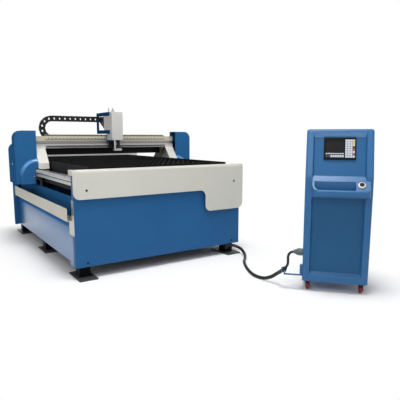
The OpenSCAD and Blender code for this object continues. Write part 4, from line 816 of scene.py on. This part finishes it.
def window_tool(low, high):
    """A cutter for a front window whose reveal slopes in; low and high are (front, back) heights."""
    bm = bmesh.new()
    rings = []
    for t in (-0.4, 1.3):
        half = WINDOW_HALF_FRONT + (WINDOW_HALF_BACK - WINDOW_HALF_FRONT) * t
        ring = []
        for x, (front, back) in ((-half, low), (half, low), (half, high), (-half, high)):
            z = front + (back - front) * t
            ring.append(bm.verts.new((x, face_at(z) + RECESS * t, z)))
        rings.append(ring)
    skin(bm, rings)
    bmesh.ops.triangulate(bm, faces=bm.faces)
    bmesh.ops.recalc_face_normals(bm, faces=bm.faces)
    return bm


def console_outline(inset, wall, floor):
    z0, z1, back = CONSOLE_FOOT + floor, CONSOLE_TOP - wall, CONSOLE_BACK - wall
    ledge = LEDGE_FACE + inset
    return [(face_at(z0) + inset, z0), (ledge, LEDGE_LOW), (ledge, LEDGE_HIGH), (face_at(z1) + inset, z1),
            (back, z1), (back, z0)]


def console_piece():
    bm = prism(console_outline(0, 0, 0), "x", -CONSOLE_HALF, CONSOLE_HALF)
    above_foot = [e for e in bm.edges if any(v.co.z > CONSOLE_FOOT + 6 for v in e.verts)]
    bevel(bm, above_foot, CONSOLE_EDGE_R, 6)
    inner_half = CONSOLE_HALF - CONSOLE_WALL
    tools = [prism(console_outline(RECESS, CONSOLE_WALL, CONSOLE_FLOOR), "x", -inner_half, inner_half),
             window_tool(*LOWER_WINDOW), window_tool(*UPPER_WINDOW),
             slab((-ARM_HALF, -70, LEDGE_LOW - 1), (ARM_HALF, -10, LEDGE_HIGH + 2)),
             slab((-BACK_OPENING_HALF, CONSOLE_BACK - 10, BACK_OPENING_LOW),
                  (BACK_OPENING_HALF, CONSOLE_BACK + 20, BACK_OPENING_HIGH))]
    hole = [(0, 60), (CASTER_HOLE_R, 60), (CASTER_HOLE_R, 110), (0, 110)]
    tools += [lathe(hole, shift(x, y, 0)) for x in (-CASTER_X, CASTER_X) for y in CASTER_YS]
    bm = cut(bm, tools)
    join_flats(bm)
    rim = [e for e in convex_edges(bm, 20)
           if all(abs(v.co.x) < WINDOW_HALF_FRONT + 4 and abs(v.co.y - face_at(v.co.z)) < 1.0
                  for v in e.verts)]
    bevel(bm, rim, WINDOW_EDGE_R, 3)
    bm.normal_update()
    for f in bm.faces:
        c = middle_of(f)
        # Sills take the upper panel's darker blue, painted shade; the top reveal, facing down, takes the
        # lighter highlight blue, painted light over its shade
        if abs(c.x) < WINDOW_HALF_FRONT + 1 and 2 < c.y - face_at(c.z) < RECESS + 1:
            sill = f.normal.z > 0.3
            top_reveal = f.normal.z < -0.05 and c.z > TOP_REVEAL_LOW
            f.material_index = 1 if sill else 2 if top_reveal else 0
    obj = make("console_body", bm, ["blue_console", "blue_panel_shaded", "blue_painted_highlight"], "table", CONSOLE)
    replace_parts(obj, "console_shell")


console_piece()


# Armrest with its pocket
ARM_RIGHT = 221
ARM_LOW, ARM_HIGH = 767, 884
POCKET_FLOOR = 784


def armrest_piece():
    nose = arc(-114, 785, 18, 270, 180, 6) + arc(-116, 804, 16, 180, 90, 6)
    bm = prism([(LEDGE_FACE, ARM_LOW)] + nose + [(LEDGE_FACE, ARM_HIGH)], "x", -ARM_HALF, ARM_RIGHT)
    plan = ([(ARM_RIGHT, 0), (-ARM_HALF, 0)] + arc(-135, -76, 56, 180, 270, 12)
            + arc(187, -98, 34, 270, 360, 10))
    bm = boolean(bm, prism(plan, "z", 700, 950), "INTERSECT")
    back_top = LEDGE_HIGH + 11
    back = [(LEDGE_FACE - 1, LEDGE_LOW - 1), (LEDGE_FACE + RECESS, LEDGE_LOW - 1),
            (LEDGE_FACE + RECESS, LEDGE_HIGH), (face_at(back_top) + RECESS, back_top),
            (LEDGE_FACE - 1, ARM_HIGH)]
    bm = boolean(bm, prism(back, "x", -ARM_HALF, ARM_HALF), "UNION")
    pocket = (arc(-137, -78, 40, 180, 270, 10) + arc(107, -106, 12, 270, 360, 6)
              + [(119, -57), (-177, -57)])
    bm = cut(bm, [prism(pocket, "z", POCKET_FLOOR, 960)])
    join_flats(bm)
    bevel(bm, convex_edges(bm, 35), 5.0, 3)
    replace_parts(make("armrest_tray", bm, "blue_console", "table", CONSOLE), "armrest")


armrest_piece()


# Torch head housing with its top fittings
HEAD = shift(20, GANTRY_Y, 0)
HEAD_HALF, HEAD_WALL = 66, 3
HEAD_FRONT, HEAD_BACK = -290, -46
HEAD_FOOT, HEAD_SHOULDER, HEAD_TOP = 1172, 1450, 1490
NECK_FRONT, NECK_BACK, NECK_LOW, NECK_HIGH = -136, -126, 1245, 1330
FITTING_TOP = 1540
TORCH_X, TORCH_Y = 38, -216


def head_piece():
    bm = prism([(HEAD_FRONT, HEAD_FOOT), (NECK_FRONT, HEAD_FOOT), (NECK_FRONT, NECK_HIGH),
                (NECK_BACK, NECK_HIGH), (NECK_BACK, NECK_LOW), (HEAD_BACK, NECK_LOW),
                (HEAD_BACK, HEAD_SHOULDER), (NECK_FRONT, HEAD_SHOULDER), (NECK_FRONT, HEAD_TOP),
                (HEAD_FRONT, HEAD_TOP)], "x", -HEAD_HALF, HEAD_HALF)
    outer = [e for e in convex_edges(bm, 1)
             if not all(NECK_FRONT - 1 < v.co.y < NECK_BACK + 1 and v.co.z < NECK_HIGH + 1 for v in e.verts)]
    bevel(bm, outer, 5.0, 4)
    x, front, back = HEAD_HALF - HEAD_WALL, HEAD_FRONT + HEAD_WALL, HEAD_BACK - HEAD_WALL
    top = HEAD_SHOULDER - HEAD_WALL
    tools = [slab((-x, front, HEAD_FOOT + 10), (x, NECK_FRONT + 1, HEAD_TOP - HEAD_WALL)),
             slab((-x, NECK_BACK - 1, NECK_LOW - 1), (x, back, top)),
             slab((-x, NECK_FRONT - 1, NECK_HIGH - 1), (x, back, top))]
    for hole_x, hole_y, r in ((-24, -260, 8.3), (24, -260, 8.3), (TORCH_X, TORCH_Y, 22.0)):
        tools.append(lathe([(0, 1160), (r, 1160), (r, 1190), (0, 1190)], shift(hole_x, hole_y, 0), 24))
    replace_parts(make("head_cover", cut(bm, tools), "grey", "carriage", HEAD), "head_housing")
    low = HEAD_SHOULDER
    bm = lathe([(0, low), (11, low), (11, 1462), (9, 1463), (9, 1478), (11, 1479), (11, 1492), (8, 1496),
                (6, 1500), (6, 1534), (5, 1539), (0, FITTING_TOP)], shift(-33, -126, 0), 24)
    make("head_fitting_round", bm, "pale", "carriage", HEAD)
    bm = slab((0, -136, low), (36, -114, 1512))
    bevel(bm, sharp_edges(bm, 30), 2.5, 3)
    lathe([(0, 1511), (9, 1511), (9, 1526), (7, 1528), (7, 1538), (6, FITTING_TOP), (0, FITTING_TOP)],
          shift(18, -125, 0), 24, bm)
    make("head_fitting_block", bm, "pale", "carriage", HEAD)


head_piece()


# Drag chain, link by link
CHAIN_Y, CHAIN_WIDTH, CHAIN_PLATE = 315, 40.0, 6.0
BEND_X, BEND_Z, BEND_R = -596, 1306, 110
BEND_LINKS, RUN_LINKS = 3, 9
BEND_STEP = 90 / BEND_LINKS
WINDOW_R, LINK_HALF_HEIGHT, LINK_OVERLAP = 13, 32, 2.5
LINK_SQUARENESS = 0.24
LINK_SIDES = 32
LINK_INSET = 1.6
LINK_BAR = [(-13, 25), (13, 25), (13, 30.5), (11, 31.5), (-11, 31.5), (-13, 30.5)]


def squared(c):
    return math.copysign(abs(c) ** LINK_SQUARENESS, c)


def chain_link(bm, place, length, odd):
    """One link: two side plates with a round window, and bars across; place takes (along, across, up)."""
    n = LINK_SIDES
    near = 0.0 if odd else LINK_INSET
    far = CHAIN_WIDTH - near
    for sides in ((near, CHAIN_PLATE + near), (far - CHAIN_PLATE, far)):
        rings = []
        for y in sides:
            hole, rim = [], []
            for k in range(n):
                a = FULL_TURN * (k + 0.5) / n
                c, s = math.cos(a), math.sin(a)
                hole.append(bm.verts.new(place(WINDOW_R * c, y, WINDOW_R * s)))
                rim.append(bm.verts.new(place(squared(c) * (length / 2 + LINK_OVERLAP), y,
                                              squared(s) * LINK_HALF_HEIGHT)))
            rings.append((hole, rim))
        (h0, r0), (h1, r1) = rings
        faces = []
        for k in range(n):
            j = (k + 1) % n
            for loop in ((h0[k], h0[j], r0[j], r0[k]), (h1[k], r1[k], r1[j], h1[j]),
                         (h0[k], h1[k], h1[j], h0[j]), (r0[k], r0[j], r1[j], r1[k])):
                faces.append(bm.faces.new(loop))
        bmesh.ops.recalc_face_normals(bm, faces=faces)
    for up in (-1, 1):
        skin(bm, [[bm.verts.new(place(s, y, up * h)) for s, h in LINK_BAR]
                  for y in (CHAIN_PLATE, CHAIN_WIDTH - CHAIN_PLATE)])


def chain_run(name, x1, z):
    bm = bmesh.new()
    step = (x1 - BEND_X) / RUN_LINKS
    for i in range(RUN_LINKS):
        mid = BEND_X + (i + 0.5) * step
        chain_link(bm, lambda s, y, h: Vector((mid + s, CHAIN_Y + y, z + h)), step, i % 2)
    return make(name, bm, "chain")


def chain_quarter(name, a0, body, node):
    def place(s, y, h):
        a = mid + s / BEND_R
        r = BEND_R + h
        return Vector((BEND_X + r * math.cos(a), CHAIN_Y + y, BEND_Z + r * math.sin(a)))

    bm = bmesh.new()
    for i in range(BEND_LINKS):
        mid = math.radians(a0 + BEND_STEP * (i + 0.5))
        chain_link(bm, place, math.radians(BEND_STEP) * BEND_R, i % 2)
    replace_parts(make(name, bm, "chain", body), node)


lower_chain = chain_run("drag_chain_lower", 0, BEND_Z - BEND_R)
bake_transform(lower_chain)
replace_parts(lower_chain, "chain_lower_run")
upper_chain = chain_run("drag_chain_upper", -54.5, BEND_Z + BEND_R)
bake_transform(upper_chain)
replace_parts(upper_chain, "chain_upper_run")
chain_quarter("drag_chain_bend_lower", 180, "chain_bend", "chain_lower_bend")
chain_quarter("drag_chain_bend_upper", 90, "chain_head", "chain_upper_bend")


# Control panel keys, all blank
PANEL_Z = 1117
PANEL = CONSOLE @ shift(0, face_at(PANEL_Z) + RECESS, PANEL_Z) @ Matrix.Rotation(-LEAN, 4, "X")
KEY_ROOT, KEY_FRONT, PAD_KEY_FRONT = -12.2, -14, -15
KEY_EDGE_R, PLATE_EDGE_R = 0.8, 0.6
PAD_TOP, PAD_STEP, PAD_KEY = 69, 17.8, (15.4, 15.6)
PAD_LAST_X = 91.2


def key_block(name, material, boxes, r=KEY_EDGE_R):
    bm = bmesh.new()
    for lo, hi in boxes:
        slab(lo, hi, bm)
    bevel(bm, sharp_edges(bm, 30), r, 2)
    make(name, bm, material, "table", PANEL)


def keys(x0, z0, size, front, columns=1, dx=0, rows=1, dz=0):
    w, h = size
    return [((x0 + i * dx, front, z0 - j * dz - h), (x0 + i * dx + w, KEY_ROOT, z0 - j * dz))
            for i in range(columns) for j in range(rows)]


def last_column(first, rows, every=1):
    return keys(PAD_LAST_X, PAD_TOP - first * PAD_STEP, PAD_KEY, PAD_KEY_FRONT, rows=rows,
                dz=every * PAD_STEP)


key_block("panel_strip_keys", "key", keys(-101, -36, (13.2, 9), KEY_FRONT, columns=8, dx=16.6))
key_block("panel_lower_keys", "key", keys(-67, -52, (14.0, 16), KEY_FRONT, columns=6, dx=16.4))
key_block("panel_dark_keys", "key_dark", keys(-101, -52, (14.0, 16), KEY_FRONT, columns=2, dx=17))
key_block("keypad_plate", "key_dark", [((36, -13.5, -74), (109, -12.1, 72))], PLATE_EDGE_R)
key_block("keypad_keys", "key", keys(39, PAD_TOP, PAD_KEY, PAD_KEY_FRONT, columns=3, dx=17.4, rows=8,
                                     dz=PAD_STEP))
key_block("keypad_gold_keys", "key_gold", last_column(0, 3))
key_block("keypad_end_keys", "key_dark", last_column(3, 1))
key_block("keypad_red_keys", "key_red", last_column(4, 2, every=2))
key_block("keypad_last_keys", "key", last_column(5, 2, every=2))


# Push button on the armrest
REST = CONSOLE @ shift(159, -84, 852) @ turn(43.26, "X")
ring = lathe([(0, 1), (18, 1), (18, 13), (19, 14), (22, 14), (24.8, 12.8), (26.4, 10), (27, 0.2), (0, 0.2)],
             REST, 48)
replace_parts(make("button_ring", ring, "ring", "table"), "stop_base")
cap = lathe([(0, 7.5), (16.6, 7.5), (17, 8), (17, 17.5), (16, 19.5), (13.5, 20.2), (0, 18.6)], REST, 48)
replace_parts(make("button_cap", cap, "cap", "stop_button"), "stop_button")


# Plug hood with grip rings
HOOD = CONSOLE @ shift(-CONSOLE_HALF, 20, 305) @ turn(-90, "Y")
hood = lathe([(0, 0), (29, 0), (29, 5), (27.5, 6.5), (27.5, 12), (29, 13.5), (29, 24), (27.5, 25.5),
              (27.5, 31), (29, 32.5), (29, 36), (27, 39), (22, 50), (17, 61), (15.5, 66), (14.6, 67),
              (14.6, 72), (13.6, 73), (0, 73)], HOOD, 40)
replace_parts(make("plug_body", hood, "plug", "table"), "plug_hood")


# Torch
TORCH = HEAD @ shift(TORCH_X, TORCH_Y, 1024)
barrel = lathe([(0, 34), (16.4, 34), (16.4, 36), (17, 37), (17, 70), (16.2, 71), (16.2, 74), (17, 75),
                (17, 170), (16, 173), (0, 173)], TORCH)
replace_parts(make("torch_barrel", barrel, "chain", "lifter"), "torch")
shield = lathe([(0, 0), (5, 0), (6, 1), (7, 5), (8.5, 6), (12, 20), (15, 28), (15.5, 33.9), (0, 33.9)],
               TORCH)
make("torch_shield", shield, "brass", "lifter")


# Screws of the panels, aprons and end covers
SCREW_X, PANEL_SCREW_Z, APRON_SCREW_Z = 768, 145, 768
PANEL_FACE, APRON_FACE = 1225, 1255


def screw_mesh():
    """The head of a button screw with a six-sided socket."""
    head = lathe([(0, 4.0), (7.2, 3.9), (9.2, 3.0), (10, 1.6), (10, 0), (0, 0)], steps=30)
    socket = lathe([(0, 1.4), (4.6, 1.4), (4.6, 6), (0, 6)], turn(6, "Z"), 6)
    head = cut(head, [socket])
    mesh = bpy.data.meshes.new("screw_head")
    head.to_mesh(mesh)
    head.free()
    return mesh


screw = screw_mesh()


def add_screw(bm, place):
    placed = screw.copy()
    placed.transform(place)
    bm.from_mesh(placed)
    bpy.data.meshes.remove(placed)


bm = bmesh.new()
for x in (-SCREW_X, SCREW_X):
    add_screw(bm, shift(x, -PANEL_FACE, PANEL_SCREW_Z) @ turn(90, "X"))
    for s in (1, -1):
        add_screw(bm, shift(x, -APRON_FACE * s, APRON_SCREW_Z) @ turn(90 * s, "X"))
        shank = [(0, 0), (6, 0), (6, 30), (0, 30)]
        lathe(shank, shift(x, -PANEL_FACE * s, APRON_SCREW_Z) @ turn(90 * s, "X"), 20, bm)
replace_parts(make("button_screws", bm, "black", "table"), "panel_screws")
bm = bmesh.new()
for s in (-1, 1):
    add_screw(bm, shift(s * COVER_OUT, GANTRY_Y - 4, 925) @ turn(90 * s, "Y"))
    add_screw(bm, shift(s * 886, GANTRY_Y + FENDER_FRONT, 796) @ turn(90, "X"))
make("cover_screws", bm, "steel", "gantry")
bpy.data.meshes.remove(screw)


# Bent ends of the front apron's top edge
bm = bmesh.new()
for s in (-1, 1):
    prism([(s * 846, 932.6), (s * 868.2, 932.6), (s * 868.2, 890), (s * 869.8, 890), (s * 869.8, 931),
           (s * 869.3, 932.9), (s * 868.2, 934), (s * 846, 934)], "y", -1252, -1102, bm)
make("apron_end_caps", bm, "cream", "table")


# Screw caps along the beam's guide rails
CAP_COUNT, CAP_START, CAP_STEP = 36, -700, 40
GUIDE_FACE, GUIDE_HEIGHTS = 103, (1110, 1196)
bm = bmesh.new()
for z in GUIDE_HEIGHTS:
    for k in range(CAP_COUNT):
        lathe([(0, 0), (5.2, 0), (5.2, 1.0), (4.6, 1.5), (0, 1.5)],
              shift(CAP_START + CAP_STEP * k, GUIDE_FACE, z) @ turn(90, "X"), 16, bm)
make("beam_screw_caps", bm, "motor", "gantry")
